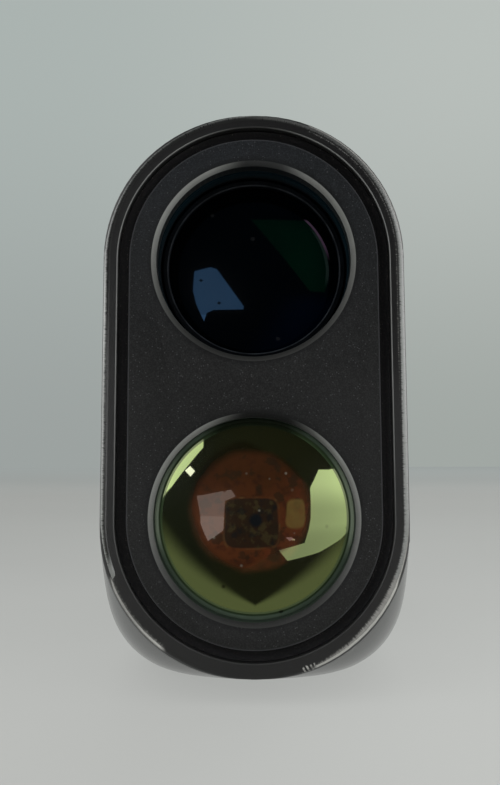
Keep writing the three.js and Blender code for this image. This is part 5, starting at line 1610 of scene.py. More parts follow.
@dataclass
class GripPads:
    """The inlaid rubber pads on both flanks."""

    front: float = 1.6
    back: float = 78.9
    bottom_z: float = 18.6
    top_z: float = 59.4
    corner: float = 5.0
    proud: float = 0.25
    flush: float = 0.04
    rise: tuple[float, float] = (0.3, 6.0)
    inlay: float = 0.6
    edge: float = 0.22
    depths: tuple[float, ...] = (
        -1.0, 0.0, 0.6, 1.2, 2.2, 3.4, 4.6, 6.0, 8.0, 10.0, 12.5, 15.0, 17.5, 20.0, 22.0, 50.0, 84.0,
    )
    reach: tuple[float, float] = (4.0, 26.0)

    def prism(self, side: int, grow: float) -> bpy.types.Object:
        """The pad's side view, as a prism along X.

        Args:
            side: -1 for the left one, 1 for the right one.
            grow: How much larger it is all round.

        Returns:
            The prism as an object.
        """
        front, back = self.front + self.corner, self.back - self.corner
        bottom, top = self.bottom_z + self.corner, self.top_z - self.corner
        corners = ((back, top, 0), (front, top, 90), (front, bottom, 180), (back, bottom, 270))
        radius = self.corner + grow
        outline = [
            (at(depth + radius * math.cos(a)), z + radius * math.sin(a))
            for depth, z, start in corners for a in quarter(8, start)
        ]
        stations = [[Vector((side * x, y, z)) for y, z in outline] for x in self.reach]
        return Shape().rings(stations).mesh("pad_prism")

    def solid(self, side: int, grow: float, outer: Callable[[float], float], inner: float,
              name: str) -> bpy.types.Object:
        """A piece of the body's skin inside the pad's outline.

        Args:
            side: -1 for the left one, 1 for the right one.
            grow: How much larger its outline is.
            outer: The outer face's inset at a depth, negative where it stands proud.
            inner: The inner face's inset.
            name: The object's name.

        Returns:
            The object.
        """
        out = [FORM.skin(depth, outer(depth)) for depth in self.depths]
        back = [FORM.skin(depth, inner) for depth in reversed(self.depths)]
        obj = Shape().rings([*out, *back, out[0]], closed=True).mesh(name)
        carve(obj, [self.prism(side, grow)], "INTERSECT")
        return obj

    def raised(self, depth: float) -> float:
        """The pad's inset, which starts flush with the rim and then stands proud."""
        return self.flush - (self.proud + self.flush) * smooth(*self.rise, depth)

    def build(self) -> None:
        """Builds both pads."""
        for side, name in ((-1, "left_grip_pad"), (1, "right_grip_pad")):
            obj = self.solid(side, 0.0, self.raised, self.inlay, name + "_rubber")
            bevelled(obj, self.edge, 3, 50.0)
            dress(obj, "grip_rubber", BODY, name)


@dataclass
class FrontPlate:
    """The grained plate round both lenses and the gasket beside it."""

    inset: float = 3.17
    recess: float = 0.5
    back: float = 2.5
    openings: tuple[tuple[float, float], ...] = ((RECEIVER_Z, 12.5), (VIEW_Z, 12.38))
    chamfer: float = 0.7
    chamfer_drop: float = 0.4
    edge: float = 0.16
    corner_steps: int = 28
    gasket_insets: tuple[float, float] = (1.63, 3.14)
    gasket_front: float = 1.25
    gasket_back: float = 4.0
    gasket_steps: int = 24
    bead_slope: float = 0.2
    bead_flat: float = 0.55
    bead_sink: float = 0.12

    def plate(self) -> None:
        """The plate with its two chamfered holes, which the receiver lens doesn't mirror."""
        inset, face, edge = self.inset, self.recess, self.edge
        places = (
            (self.back, inset), (face + edge, inset),
            (face + edge * 0.3, inset + edge * 0.3), (face, inset + edge),
        )
        stations = [FORM.rim(*place, self.corner_steps) for place in places]
        obj = Shape().rings(stations).mesh("front_plate_face")
        cutters = []
        for z, hole_r in self.openings:
            outer = hole_r + self.chamfer
            profile = (
                (0.0, face - 1.0), (outer + self.chamfer / self.chamfer_drop, face - 1.0), (outer, face),
                (hole_r, face + self.chamfer_drop), (hole_r, self.back + 1.0), (0.0, self.back + 1.0),
            )
            cutters.append(Shape().turned(profile, z).mesh("hole"))
        carve(obj, cutters)
        dress(obj, "plate_paint", BODY, "front_plate")
        obj.visible_glossy = False

    def gasket(self) -> None:
        """The gasket, with a rounded bead in the channel."""
        (outer, inner), front, back = self.gasket_insets, self.gasket_front, self.gasket_back
        slope, flat, sunk = self.bead_slope, self.bead_flat, front + self.bead_sink
        bead = (
            (outer, front + slope), (outer + slope, front), (outer + flat, sunk),
            (inner - flat, sunk), (inner - slope, front), (inner, front + slope),
        )
        loop = ((outer, back), *bead, (inner, back), (outer, back))
        stations = [FORM.rim(depth, inset, self.gasket_steps) for inset, depth in loop]
        obj = Shape().rings(stations, closed=True).mesh("front_gasket_bead")
        dress(obj, "seal_rubber", BODY, "front_gasket")

    def build(self) -> None:
        """Builds the plate and its gasket."""
        self.plate()
        self.gasket()


@dataclass(frozen=True)
class TurnedPiece:
    """A piece turned round the viewing axis: its name, what it stands for and rides on, and its outline."""

    name: str
    slot: str
    body: str
    node: str
    profile: Profile
    soft: float = 0.0

    def build(self) -> None:
        """Builds the piece, with its edges softened where it says so."""
        shape = Shape().turned(self.profile, VIEW_Z)
        if self.soft:
            shape.soften(self.soft)
        dress(shape.mesh(self.name), self.slot, self.body, self.node)


@dataclass
class LensForm:
    """A round lens with two domed faces and a ground bevel at its front edge."""

    radius: float
    edge_front: float
    edge_back: float
    front_bulge: float
    back_bulge: float
    bevel: float = 0.0
    bevel_drop: float = 0.5
    domes: int = 16

    def cap(self, bulge: float, radius: float) -> float:
        """The height of the dome above its edge, at a distance from its axis."""
        sphere = (self.radius ** 2 + bulge ** 2) / (2 * bulge)
        return math.sqrt(sphere ** 2 - radius ** 2) - (sphere - bulge)

    def profile(self) -> list[tuple[float, float]]:
        """The lens' half outline.

        Returns:
            Its [radius, depth] points, from its front pole to its back pole.
        """
        face = self.radius - self.bevel
        front = [face * i / self.domes for i in range(self.domes + 1)]
        back = [self.radius * i / self.domes for i in range(self.domes, -1, -1)]
        ground = [(self.radius, self.edge_front + self.bevel_drop)] if self.bevel else []
        return [
            *((r, self.edge_front - self.cap(self.front_bulge, r)) for r in front),
            *ground,
            *((r, self.edge_back + self.cap(self.back_bulge, r)) for r in back),
        ]


@dataclass
class FrontOptics:
    """Both front lenses with the viewing lens' tube and retaining ring."""

    viewing: LensForm = field(default_factory=lambda: LensForm(12.0, 6.42, 9.42, 1.9, 0.6))
    receiver: LensForm = field(default_factory=lambda: LensForm(12.9, 2.8, 4.8, 2.5, 1.2, 1.1))
    front: float = 2.8
    flange_back: float = 4.0
    taper: tuple[float, float] = (13.6, 15.1)
    back: float = 31.1
    bore: float = 12.3
    tube_r: float = 14.0
    flange_r: float = 15.2
    seat_r: float = 11.1
    seat_front: float = 9.72
    thread_front: float = 3.0
    thread_pitch: float = 0.22
    thread_depth: float = 0.1
    threads: int = 9
    ring: Profile = ((11.3, 5.25), (11.5, 5.0), (12.0, 5.0), (12.0, 5.9), (11.3, 5.9), (11.3, 5.25))

    def tube(self) -> Profile:
        """The outline of the viewing lens' tube, with a fine thread in its mouth.

        Returns:
            Its [radius, depth] points.
        """
        starts = [self.thread_front + self.thread_pitch * i for i in range(self.threads)]
        thread = [(r, start + half) for start in reversed(starts) for r, half in (
            (self.bore + self.thread_depth, self.thread_pitch / 2), (self.bore, 0.0))]
        return (
            (self.bore, self.front), (self.flange_r, self.front), (self.flange_r, self.flange_back),
            (self.tube_r, self.flange_back), (self.tube_r, self.taper[0]), (self.bore, self.taper[1]),
            (self.bore, self.back), (self.seat_r, self.back), (self.seat_r, self.seat_front),
            (self.bore, self.seat_front), *thread, (self.bore, self.front),
        )

    def build(self) -> None:
        """Builds the front optics."""
        upper = (
            ("objective_tube_turned", self.tube(), "tube_anodised", "objective_tube"),
            ("objective_ring_turned", self.ring, "tube_anodised", "objective_retaining_ring"),
            ("objective_lens_ground", self.viewing.profile(), "objective_glass", "objective_lens"),
        )
        for name, profile, slot, node in upper:
            TurnedPiece(name, slot, BODY, node, profile).build()
        lens = Shape().turned(self.receiver.profile(), RECEIVER_Z).mesh("receiver_lens_ground")
        dress(lens, "receiver_glass", BODY, "receiver_lens", crease=8.0)


@dataclass(frozen=True)
class Key:
    """One button's place and size, with its touch marks' distance behind its middle, width and length."""

    node: str
    depth: float
    length: float
    marks: tuple[tuple[float, float, float], ...]


@dataclass
class Buttons:
    """Both buttons on the top: dished rubber tops with raised touch marks."""

    width: float = 11.0
    top_z: float = 76.7
    flange_height: float = 1.1
    flange_lip: float = 1.2
    clearance: float = 0.3
    shoulder: Profile = ((0.0, 0.9), (0.12, 0.45), (0.42, 0.12), (0.9, 0.0), (1.3, 0.05))
    dish: float = 0.35
    dish_insets: tuple[float, float] = (2.2, 3.6)
    mark_steps: Profile = ((0.0, -0.3), (0.0, 0.12), (0.1, 0.24), (0.25, 0.28))
    opening_z: tuple[float, float] = (72.0, 78.0)
    keys: tuple[Key, ...] = (
        Key("measure_button", 42.0, 20.0, ((-3.0, 4.4, 0.9), (0.0, 5.2, 0.9), (3.0, 4.4, 0.9))),
        Key("mode_button", 62.5, 12.0, ((0.0, 3.0, 1.6),)),
    )

    def opening(self, key: Key) -> bpy.types.Object:
        """The opening that a button moves in, as a cutter."""
        wide, long = self.width + 2 * self.clearance, key.length + 2 * self.clearance
        return Shape().rings([oval(wide, long, key.depth, 0.0, z) for z in self.opening_z]).mesh("opening")

    def cap(self, key: Key) -> None:
        """One button.

        Args:
            key: The button's place and size.
        """
        low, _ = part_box(key.node)
        bottom = low.z / MM
        flange = bottom + self.flange_height
        lip = 2 * self.flange_lip
        slope, floor = self.dish_insets
        drops = ((0.0, self.top_z - flange), *self.shoulder, (slope, self.dish * 0.75), (floor, self.dish))
        stations = [oval(self.width + lip, key.length + lip, key.depth, 0.0, z) for z in (bottom, flange)]
        stations += [
            oval(self.width, key.length, key.depth, inset, self.top_z - drop) for inset, drop in drops
        ]
        obj = Shape().rings(stations).mesh(key.node + "_cap")
        dress(obj, "button_rubber", key.node, key.node)

    def mark(self, key: Key, index: int, offset: float, width: float, length: float) -> None:
        """One raised touch mark on a button's dished top.

        Args:
            key: The button.
            index: The mark's number.
            offset: Its distance behind the button's middle.
            width: Its length across the button.
            length: Its length along the button.
        """
        floor = self.top_z - self.dish
        stations = []
        for inset, lift in self.mark_steps:
            ring = oval(length, width, 0.0, inset, floor + lift, 6)
            stations.append([Vector((p.y - FRONT_Y, at(key.depth + offset) - p.x, p.z)) for p in ring])
        obj = Shape().rings(stations).mesh(f"{key.node}_mark_{index}")
        dress(obj, "button_rubber", key.node)

    def build(self) -> None:
        """Builds both buttons with their marks."""
        for key in self.keys:
            self.cap(key)
            for index, mark in enumerate(key.marks, 1):
                self.mark(key, index, *mark)


@dataclass
class RearCover:
    """The rear cover with its seal, screws, bail and bores."""

    front: float = 84.2
    back: float = 88.7
    edge: float = 1.0
    barrel_bore: float = 13.3
    ring_recess: tuple[float, float] = (18.2, 0.35)
    cap_seat: tuple[float, float] = (11.0, 1.0)
    cap_bore: float = 9.6
    seal_depths: tuple[float, float] = (83.3, 83.9)
    seal_insets: tuple[float, float] = (0.2, 1.6)
    screw_places: tuple[tuple[float, float], ...] = (
        (-15.325, 5.475), (-14.154, 68.754), (15.325, 5.475), (14.154, 68.754),
    )
    screw_depths: tuple[float, float, float] = (75.0, 86.9, 88.4)
    shank_r: float = 1.0
    head_r: float = 1.9
    head_clearance: float = 0.3
    head_recess: float = 2.1
    mouth_r: float = 1.12
    socket_r: float = 0.95
    socket_depth: float = 0.9
    bail_x: float = 16.2
    bail_z: tuple[float, float] = (24.0, 32.0)
    bail_reach: float = 95.0
    bail_bend: float = 2.0
    bail_foot: float = 3.0
    wire_r: float = 1.0
    wire_clearance: float = 0.25
    foot_clearance: float = 0.3
    edge_bevel: float = 0.12
    front_bevel: float = 0.15

    def cover(self) -> None:
        """The cover plate with a rounded back edge and its bores."""
        form = FORM.section(FORM.flare_length)
        bevel = self.front_bevel
        stations = [form.places(self.front, bevel), form.places(self.front + bevel, 0.0)]
        stations += [
            form.places(self.back - self.edge + self.edge * math.sin(a), self.edge * (1 - math.cos(a)))
            for a in quarter(6)
        ]
        obj = Shape().rings(stations).mesh("rear_cover_plate")
        through, foot = self.back - self.front + 1.0, self.bail_foot + self.foot_clearance
        bores = (
            (0.0, VIEW_Z, self.barrel_bore, through, 96),
            (0.0, VIEW_Z, *self.ring_recess, 96),
            (0.0, BATTERY_Z, self.cap_bore, through, 72),
            (0.0, BATTERY_Z, *self.cap_seat, 72),
            *((x, z, self.head_r + self.head_clearance, self.head_recess, 32) for x, z in self.screw_places),
            *((self.bail_x, z, self.wire_r + self.wire_clearance, foot, 24) for z in self.bail_z),
        )
        cutters = [
            cylinder(x, z, radius, self.back - drop, self.back + 1.0, steps)
            for x, z, radius, drop, steps in bores
        ]
        carve(obj, cutters)
        bevelled(obj, self.edge_bevel)
        dress(obj, "cover_paint", BODY, "rear_cover")

    def seal(self) -> None:
        """The thin seal between housing and cover."""
        (front, back), (outer, inner) = self.seal_depths, self.seal_insets
        loop = ((front, outer), (back, outer), (back, inner), (front, inner), (front, outer))
        obj = Shape().rings([FORM.skin(*place) for place in loop], closed=True).mesh("rear_seal_strip")
        dress(obj, "seal_rubber", BODY, "rear_seal")

    def hexagon(self, angle: float) -> float:
        """The screws' socket's radius at an angle."""
        return self.socket_r * math.cos(math.pi / 6) / math.cos((angle % (math.pi / 3)) - math.pi / 6)

    def screw(self, index: int, centre: tuple[float, float]) -> None:
        """One cover screw with a hexagon socket.

        Args:
            index: The screw's number.
            centre: Its x and z.
        """
        (tip, seat, top), head = self.screw_depths, self.head_r
        levels = [
            (even(self.shank_r), tip), (even(self.shank_r), seat), (even(head), seat),
            (even(head), top - 0.25), (even(head - 0.08), top - 0.08), (even(head - 0.25), top),
            (even(self.mouth_r), top), (self.hexagon, top - 0.08), (self.hexagon, top - self.socket_depth),
        ]
        obj = levelled(levels, centre, 48).mesh(f"cover_screw_{index}_head")
        dress(obj, "screw_steel", BODY, f"cover_screw_{index}")

    def bail(self) -> None:
        """The bent wire for a wrist cord."""
        (low, high), bend, start = self.bail_z, self.bail_bend, self.back - self.bail_foot
        turn = self.bail_reach - bend
        spine = [(start, low, 0.0), (self.back, low, 0.0)]
        spine += [(turn + bend * math.sin(a), low + bend - bend * math.cos(a), a) for a in quarter(6)]
        spine += [
            (turn + bend * math.cos(a), high - bend + bend * math.sin(a), math.pi / 2 + a) for a in quarter(6)
        ]
        spine += [(self.back, high, math.pi), (start, high, math.pi)]
        stations = []
        for depth, z, heading in spine:
            side = Vector((0.0, -math.sin(heading), math.cos(heading)))
            centre = Vector((self.bail_x, at(depth), z))
            stations.append([
                centre + self.wire_r * (Vector((math.cos(a), 0.0, 0.0)) + side * math.sin(a))
                for a in (math.tau * i / 16 for i in range(16))
            ])
        obj = Shape().rings(stations).mesh("lanyard_bail_wire")
        dress(obj, "screw_steel", BODY, "lanyard_bail")

    def build(self) -> None:
        """Builds the rear of the body."""
        self.cover()
        self.seal()
        for index, centre in enumerate(self.screw_places, 1):
            self.screw(index, centre)
        self.bail()


@dataclass
class Eyepiece:
    """The barrel with its snap ring, the dioptre ring, the eyecup, and the eye lens in its retaining ring."""

    ring: tuple[float, float] = (89.0, 93.4)
    ring_radii: tuple[float, float, float] = (13.3, 16.0, 17.2)
    ribs: int = 16
    rib_height: float = 0.6
    pieces: tuple[TurnedPiece, ...] = (
        TurnedPiece("eyepiece_barrel_turned", "tube_anodised", BODY, "eyepiece_barrel", (
            (11.6, 74.0), (13.0, 74.0), (13.0, 82.4), (15.0, 82.4), (15.0, 83.9), (13.0, 83.9), (13.0, 93.4),
            (12.4, 93.4), (12.4, 94.7), (13.0, 94.7), (13.0, 100.3), (12.8, 100.5), (11.8, 100.5),
            (11.6, 100.3), (11.6, 74.0))),
        TurnedPiece("diopter_snap_ring_wire", "screw_steel", BODY, "diopter_snap_ring", (
            (12.7, 93.7), (14.2, 93.7), (14.2, 94.4), (12.7, 94.4), (12.7, 93.7)), 0.15),
        TurnedPiece("eyecup_sleeve_turned", "diopter_plastic", "eyecup", "eyecup_sleeve", (
            (13.3, 94.7), (14.8, 94.7), (14.8, 101.5), (13.3, 101.5), (13.3, 94.7)), 0.15),
        TurnedPiece("eyecup_rubber_moulded", "eyecup_rubber", "eyecup", "eyecup", (
            (15.1, 94.7), (17.2, 94.7), (17.4, 94.9), (17.4, 96.2), (17.15, 96.45), (17.15, 96.75),
            (17.4, 97.0), (17.4, 98.2), (17.15, 98.45), (17.15, 98.75), (17.4, 99.0), (17.4, 101.4),
            (17.3, 102.3), (16.95, 103.1), (16.3, 103.7), (15.4, 103.97), (14.6, 104.0), (13.2, 103.75),
            (12.0, 103.3), (11.1, 102.8), (10.8, 102.4), (10.85, 102.0), (11.3, 101.8), (15.1, 101.8),
            (15.1, 94.7))),
        TurnedPiece("ocular_ring_turned", "tube_anodised", "ocular_group", "ocular_retaining_ring", (
            (8.7, 95.4), (9.7, 95.15), (9.7, 96.1), (9.0, 96.1), (8.7, 95.8), (8.7, 95.4))),
        TurnedPiece("eye_lens_ground", "objective_glass", "ocular_group", "eye_lens",
                    tuple(LensForm(9.7, 92.3, 94.8, 1.8, 1.5).profile())),
    )

    def diopter_ring(self) -> None:
        """The ring with ribs round its edge."""
        (front, back), (bore, shoulder, outer) = self.ring, self.ring_radii
        full, eased, low = (
            toothed(outer - drop, self.rib_height, self.ribs, -0.35, 0.35) for drop in (0.0, 0.1, 0.35)
        )
        levels = [
            (even(bore), front), (even(shoulder), front), (low, front + 0.05), (eased, front + 0.25),
            (full, front + 0.6), (full, back - 0.6), (eased, back - 0.25), (low, back - 0.05),
            (even(shoulder), back), (even(bore), back), (even(bore), front),
        ]
        obj = levelled(levels, (0.0, VIEW_Z), self.ribs * 12, closed=True).mesh("diopter_ring_ribbed")
        dress(obj, "diopter_plastic", "diopter_ring", "diopter_ring")

    def build(self) -> None:
        """Builds the eyepiece's pieces."""
        self.diopter_ring()
        for piece in self.pieces:
            piece.build()


@dataclass
class BatteryCap:
    """The bayonet cap with a coin slot and a knurled edge."""

    head_r: float = 11.6
    plug_r: float = 9.3
    plug_front: float = 84.7
    front: float = 89.0
    back: float = 91.4
    slot: tuple[float, float] = (15.0, 1.6)
    slot_depth: float = 1.2
    knurls: int = 40
    knurl_height: float = 0.25
    edge_r: float = 10.9
    face_r: float = 10.4
    groove: tuple[float, float] = (9.4, 8.4)
    groove_depth: float = 0.2
    edge_bevel: float = 0.1

    def build(self) -> None:
        """Builds the cap."""
        full, eased, low = (
            toothed(self.head_r - drop, self.knurl_height, self.knurls, -0.2, 0.6)
            for drop in (0.0, 0.2, 0.25)
        )
        front, back, drop = self.front, self.back, self.groove_depth
        outer, inner = self.groove
        levels = [
            (even(self.plug_r), self.plug_front), (even(self.plug_r), front), (eased, front),
            (full, front + 0.2), (full, back - 0.75), (low, back - 0.45), (even(self.edge_r), back - 0.15),
            (even(self.face_r), back), (even(outer), back), (even(outer - drop), back - drop),
            (even(inner + drop), back - drop), (even(inner), back),
        ]
        obj = levelled(levels, (0.0, BATTERY_Z), self.knurls * 6).mesh("battery_cap_head")
        long, wide = self.slot
        outline = oval(wide, long, 0.0, 0.0, 0.0, 8)
        stations = [
            [Vector((p.y - FRONT_Y, at(depth), BATTERY_Z + p.x)) for p in outline]
            for depth in (back - self.slot_depth, back + 1.0)
        ]
        carve(obj, [Shape().rings(stations).mesh("coin_slot")])
        bevelled(obj, self.edge_bevel)
        dress(obj, "cap_plastic", "battery_cap", "battery_cap")


@dataclass
class InnerPieces:
    """The CAD nodes that keep their own shape, dressed by their material slots."""

    def build(self) -> None:
        """Gives every shown CAD node its finish."""
        slots = {part["node"]: part["material_slot"] for part in frame["record"]["subparts"]}
        for name, obj in sorted(frame["nodes"].items()):
            if obj.hide_render:
                continue
            obj.data.materials.clear()
            obj.data.materials.append(PALETTE.get(slots[name]))
            log.info("%s keeps its shape, in %s", name, slots[name])


# ---------------------------------------------------------------- studio


@dataclass(frozen=True)
class Softbox:
    """A soft light that faces the object; azimuth 0 is in front of the lenses and 90 on the right."""

    name: str
    azimuth: float
    elevation: float
    radiance: float
    width: float = 0.6
    height: float = 0.4
    mirrored: bool = False
    distance: float = 0.9
    target_z: float = 38.0

    def build(self) -> None:
        """Builds the light."""
        a, e = math.radians(self.azimuth), math.radians(self.elevation)
        way = Vector((math.sin(a) * math.cos(e), -math.cos(a) * math.cos(e), math.sin(e)))
        light = bpy.data.lights.new(self.name, "AREA")
        light.shape = "RECTANGLE"
        light.size, light.size_y = self.width, self.height
        light.energy = self.radiance * math.pi * self.width * self.height
        obj = linked(self.name, light)
        obj.location = Vector((0.0, 0.0, self.target_z)) * MM + way * self.distance
        obj.rotation_euler = way.to_track_quat("Z", "Y").to_euler()
        obj.visible_glossy = self.mirrored


def mirrored_only(name: str, corners: Sequence[Place], material: bpy.types.Material) -> None:
    """Makes a flat piece that only shows in gloss.

    Args:
        name: Its name.
        corners: Its corners, in millimetres.
        material: Its material.
    """
    bm = bmesh.new()
    verts = [bm.verts.new(Vector(corner) * MM) for corner in corners]
    edges = [bm.edges.new(pair) for pair in zip(verts, verts[1:] + verts[:1])]
    bmesh.ops.edgeloop_fill(bm, edges=edges)
    obj = meshed(name, bm)
    obj.data.materials.append(material)
    obj.visible_camera = obj.visible_diffuse = obj.visible_shadow = obj.visible_transmission = False


@dataclass(frozen=True)
class Card:
    """A flat card that only shows in the gloss of the lenses and paint: a bright one or a dark flag.

    Its fall is an axis, a start, an end and the share of the radiance that is left there.
    """

    name: str
    corners: tuple[Place, ...]
    radiance: float = 0.031
    tint: Colour = WHITE
    fall: tuple[int, float, float, float] | None = None

    def build(self) -> None:
        """Builds the card."""
        g = Graph(self.name)
        strength: Num | float = self.radiance
        if self.fall is not None:
            axis, start, end, share = self.fall
            strength = self.radiance * (1.0 - g.axes[axis].step(start, end) * (1.0 - share))
        mirrored_only(self.name, self.corners, g.finish(g.emission(self.tint, strength)))


@dataclass(frozen=True)
class FloorFlag:
    """A black flag over the floor in front, which takes on the floor's tone at the foot of the body."""

    name: str = "floor_flag"
    reach: float = 7200.0
    back_y: float = -58.0
    corner_y: float = -61.0
    height: float = 0.8
    lean: tuple[float, float] = (0.681, 0.733)
    tone: Colour = (0.4, 0.39, 0.32)
    dark: Colour = (0.03, 0.031, 0.033)

    def build(self) -> None:
        """Builds the flag."""
        g = Graph(self.name)
        x, y, _ = g.axes
        side, back = x.size(), y - self.corner_y
        inward = side * self.lean[0] + back * self.lean[1]
        along = (side * self.lean[1] - back * self.lean[0]).most(0.0)
        cover = (inward / (1.0 + along * 0.28)).step(1.0, -0.1)
        r, h = self.reach, self.height
        corners = ((-r, self.back_y, h), (-r, -r, h), (r, -r, h), (r, self.back_y, h))
        mirrored_only(self.name, corners, g.finish(g.emission(g.mix(cover, self.tone, self.dark), 1.0)))


def upright(y: float, *places: tuple[float, float]) -> tuple[Place, ...]:
    """Corners in an upright plane that faces the lenses, from their x and z."""
    return tuple((x, y, z) for x, z in places)


def lying(z: float, *places: tuple[float, float]) -> tuple[Place, ...]:
    """Corners a little over the floor, from their x and y."""
    return tuple((x, y, z) for x, y in places)


def beside(x: float, front: float, back: float, top: float) -> tuple[Place, ...]:
    """Corners of an upright oblong beside the body, whose foot is just over the floor."""
    return tuple((x, y, z) for y, z in ((front, 2.0), (back, 2.0), (back, top), (front, top)))


LEFT_FRONT_Y, LEFT_Y, RIGHT_Y, UPPER_Y, FLAG_Y, LENS_Y = -452.0, -352.0, -332.0, -75.0, -72.0, -62.0
GLOW_Z, GLINT_Z = 1.5, 1.6

CARDS = (
    Card("left_front_panel", upright(
        LEFT_FRONT_Y, (-228, 169), (-159, 175), (-134, 164), (-38, 28), (-40, 10), (-112, 0), (-209, 0),
        (-218, 40), (-232, 93)), 2.9),
    Card("left_front_glow", lying(
        GLOW_Z, (-34, -116), (-34, -133), (-35, -162), (-50, -223), (-112, LEFT_FRONT_Y),
        (-209, LEFT_FRONT_Y), (-187, -408), (-89, -214)), 4.2),
    Card("left_panel", upright(
        LEFT_Y, (-330, 20), (-327, 45), (-302, 82), (-259, 127), (-215, 175), (-174, 226), (-173, 290),
        (-420, 290), (-420, 20)), 4.0, WHITE, (0, -340.0, -260.0, 0.75)),
    Card("left_square", upright(
        LEFT_Y, (-231.5, 150.3), (-212.8, 163.8), (-188.9, 143.4), (-203.9, 126.7)), 5.05, (1.19, 1.0, 1.6)),
    Card("right_panel", upright(
        RIGHT_Y, (150, 0), (152, 83), (190, 141), (240, 147), (345, 147), (345, 0)), 2.9, WHITE,
        (2, 110.0, 15.0, 0.58)),
    Card("right_glow", lying(
        GLOW_Z, (13, -100), (14, -85), (33, -90), (63, -106), (345, RIGHT_Y), (150, RIGHT_Y), (66, -171),
        (33, -110)), 1.65, WHITE, (1, -190.0, -95.0, 0.75)),
    Card("floor_glint", lying(
        GLINT_Z, (24.5, -119), (24.5, -129), (29.5, -129), (29.5, -119)), 3.4, (1.3, 1.05, 1.1)),
    FloorFlag(),
    Card("receiver_flag", upright(
        FLAG_Y, (-19.1, 28.0), (-16.8, 28.1), (-6.6, 29.7), (-4.8, 27.9), (-9.0, 26.2), (-9.5, 16.9),
        (-9.7, 12.9), (-1.5, 13.2), (-1.4, 42.0), (-17.5, 42.0), (-20.0, 36.5), (-20.0, 31.0))),
    Card("viewing_flag_left", upright(
        LENS_Y, (-2.4, 48.2), (-10.7, 48.2), (-12.7, 47.5), (-13.7, 45.2), (-15.7, 49.8), (-19.1, 50.2),
        (-19.5, 42.4), (-14.5, 41.4), (-11.5, 42.6), (-1.5, 43.0))),
    Card("viewing_flag_right", upright(LENS_Y, (2, 40.5), (26, 40.5), (26, 90), (2, 90))),
    Card("upper_flag", upright(UPPER_Y, (-100, 52), (-27, 52), (-24, 69), (20, 69), (20, 140), (-100, 140))),
    Card("left_side_panel", beside(-500, 150, 1200, 300), 1.3),
    Card("right_side_panel", beside(500, 150, 1200, 300), 1.7),
    Card("left_near_panel", beside(-500, -150, 140, 460), 2.3),
    Card("right_near_panel", beside(500, -230, 140, 460), 3.0),
)


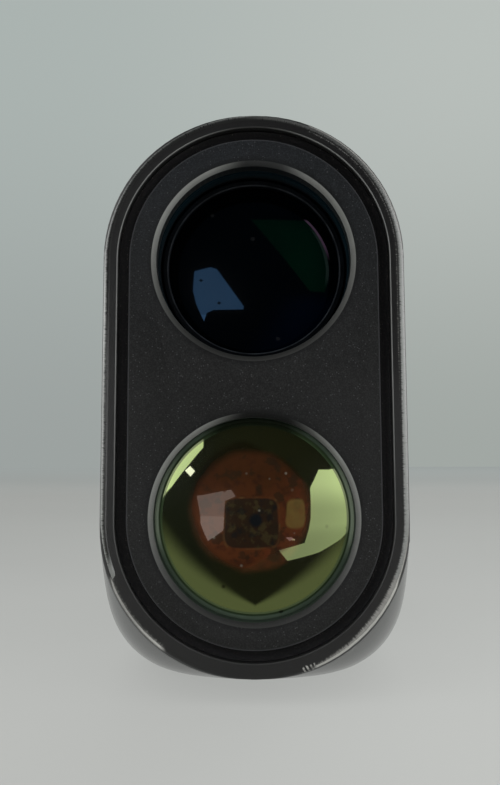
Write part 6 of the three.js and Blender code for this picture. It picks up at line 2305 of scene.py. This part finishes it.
@dataclass
class Studio:
    """The pale floor, the soft lights with their cards, the world and the camera."""

    # floor tones by distance from just in front of the body: painted lighter near the body, where its shadow
    # falls, darker further off
    tones: tuple[tuple[float, Colour], ...] = (
        (0.08, (0.505, 0.516, 0.499)), (0.13, (0.496, 0.508, 0.491)), (0.2, (0.47, 0.482, 0.465)),
        (0.29, (0.43, 0.441, 0.426)), (0.43, (0.388, 0.399, 0.384)), (0.585, (0.354, 0.364, 0.35)),
        (0.69, (0.344, 0.354, 0.34)), (0.93, (0.356, 0.386, 0.377)),
    )
    tone_front: float = -60.0
    tone_reach: float = 300.0
    mottle: float = 0.035
    mottle_pitch: float = 60.0
    floor_radius: float = 7.0
    # how much lighter the floor is painted on the right
    right_lift: float = 0.08
    paleness: float = 0.94
    shine: float = 0.75
    horizon_left: Colour = (0.332, 0.361, 0.352)
    horizon_right: Colour = (0.357, 0.388, 0.368)
    high_left: Colour = (0.405, 0.452, 0.436)
    high_right: Colour = (0.482, 0.518, 0.495)
    dark_front: Colour = (0.03, 0.031, 0.033)
    level: float = 0.5
    sun: float = 1.05
    sun_angle: float = 60.0
    sun_way: Place = (-0.25, -0.64, 0.77)
    camera_place: Place = (0.00082, -0.14498, 0.02904)
    pitch: float = 5.441
    yaw: float = 0.793
    roll: float = -0.182
    lens: float = 34.53
    sensor: float = 36.0
    nearest: float = 0.005
    softboxes: tuple[Softbox, ...] = (
        Softbox("left_fill", -52.0, 17.0, 2.25),
        Softbox("right_fill", 50.0, 17.0, 2.55),
        Softbox("rear_fill", 180.0, 42.0, 1.6),
        Softbox("rear_left_panel", -140.0, 38.0, 1.1, 0.7, 0.5, True),
        Softbox("rear_right_panel", 140.0, 34.0, 1.1, 0.7, 0.5, True),
    )

    def floor(self) -> None:
        """The round pale floor, which shows its tone and keeps a soft shadow; the tone is painted lighter
        near the body, where its shadow falls, and a little lighter to the right.
        """
        g = Graph("pale_floor_finish")
        x, y, _ = g.axes
        away = distance(x, y - self.tone_front)
        share = away / (away + self.tone_reach)
        ramp = g.node("ShaderNodeValToRGB", {"stops": self.tones}, {"Fac": share})
        lift = 1.0 + (x / (away + 30.0)).step(-0.4, 0.4) * away.step(6000.0, 1500.0) * self.right_lift
        lift = lift + (g.noise(self.mottle_pitch, 3.0) - 0.5) * self.mottle
        tone = g.times(ramp.outputs[0], lift)
        pale = g.times(tone, self.paleness)
        plain = g.principled(Base_Color=pale, Roughness=0.9, Specular_IOR_Level=0.1)
        seen = g.ray("Camera").most(g.ray("Glossy")).most(g.ray("Transmission")) * self.shine
        shader = g.blend(seen, plain, g.emission(tone, 1.0))
        bm = bmesh.new()
        bmesh.ops.create_circle(bm, cap_ends=True, radius=self.floor_radius, segments=96)
        floor = meshed("pale_floor", bm)
        floor.data.materials.append(g.finish(shader))

    def world(self) -> None:
        """An even world: a pale backdrop to the camera, dark in front of the lenses in gloss."""
        world = bpy.data.worlds.new("studio_world")
        bpy.context.scene.world = world
        g = Graph("studio_world", world)
        way = g.node("ShaderNodeSeparateXYZ", None, {0: g.node("ShaderNodeTexCoord").outputs["Generated"]})
        across, forward, up = (Num(g, output) for output in way.outputs)
        side = across.step(-0.3, 0.3)
        horizon = g.mix(side, self.horizon_left, self.horizon_right)
        backdrop = g.mix(up.step(0.0, 0.5), horizon, g.mix(side, self.high_left, self.high_right))
        seen = g.mix(forward.step(-0.45, 0.25), self.dark_front, backdrop)
        seen = g.mix(up.step(0.6, 0.9), seen, self.dark_front)
        colour = g.layers(
            (self.level, self.level, self.level),
            (g.ray("Glossy").most(g.ray("Transmission")), seen),
            (g.ray("Camera"), backdrop),
        )
        background = g.node("ShaderNodeBackground", None, {"Color": colour, "Strength": 1.0})
        g.node("ShaderNodeOutputWorld", None, {"Surface": background.outputs[0]})

    def sunlight(self) -> None:
        """A very wide, soft light from the upper front."""
        light = bpy.data.lights.new("wide_sun", "SUN")
        light.energy = self.sun
        light.angle = math.radians(self.sun_angle)
        obj = linked("wide_sun", light)
        obj.rotation_euler = Vector(self.sun_way).to_track_quat("Z", "Y").to_euler()
        obj.visible_glossy = False

    def camera(self) -> None:
        """The camera, in front of the lenses and a little below their middle, looking slightly up."""
        data = bpy.data.cameras.new("photo_camera")
        data.lens = self.lens
        data.sensor_width = self.sensor
        data.clip_start = self.nearest
        obj = linked("photo_camera", data)
        obj.location = self.camera_place
        turn = Matrix.Rotation(math.radians(self.yaw), 3, "Z")
        tip = Matrix.Rotation(math.radians(90.0 + self.pitch), 3, "X")
        obj.rotation_euler = (turn @ tip @ Matrix.Rotation(math.radians(self.roll), 3, "Z")).to_euler()
        bpy.context.scene.camera = obj

    def build(self) -> None:
        """Builds the studio."""
        bpy.context.scene.view_settings.view_transform = "Standard"
        self.floor()
        self.world()
        self.camera()
        self.sunlight()
        for light in (*self.softboxes, *CARDS):
            light.build()


def main() -> None:
    pads = GripPads()
    buttons = Buttons()
    Housing().build(pads, buttons)
    RimStrip().build()
    pads.build()
    FrontPlate().build()
    FrontOptics().build()
    buttons.build()
    RearCover().build()
    Eyepiece().build()
    BatteryCap().build()
    InnerPieces().build()
    Studio().build()


if __name__ == "__main__":
    main()
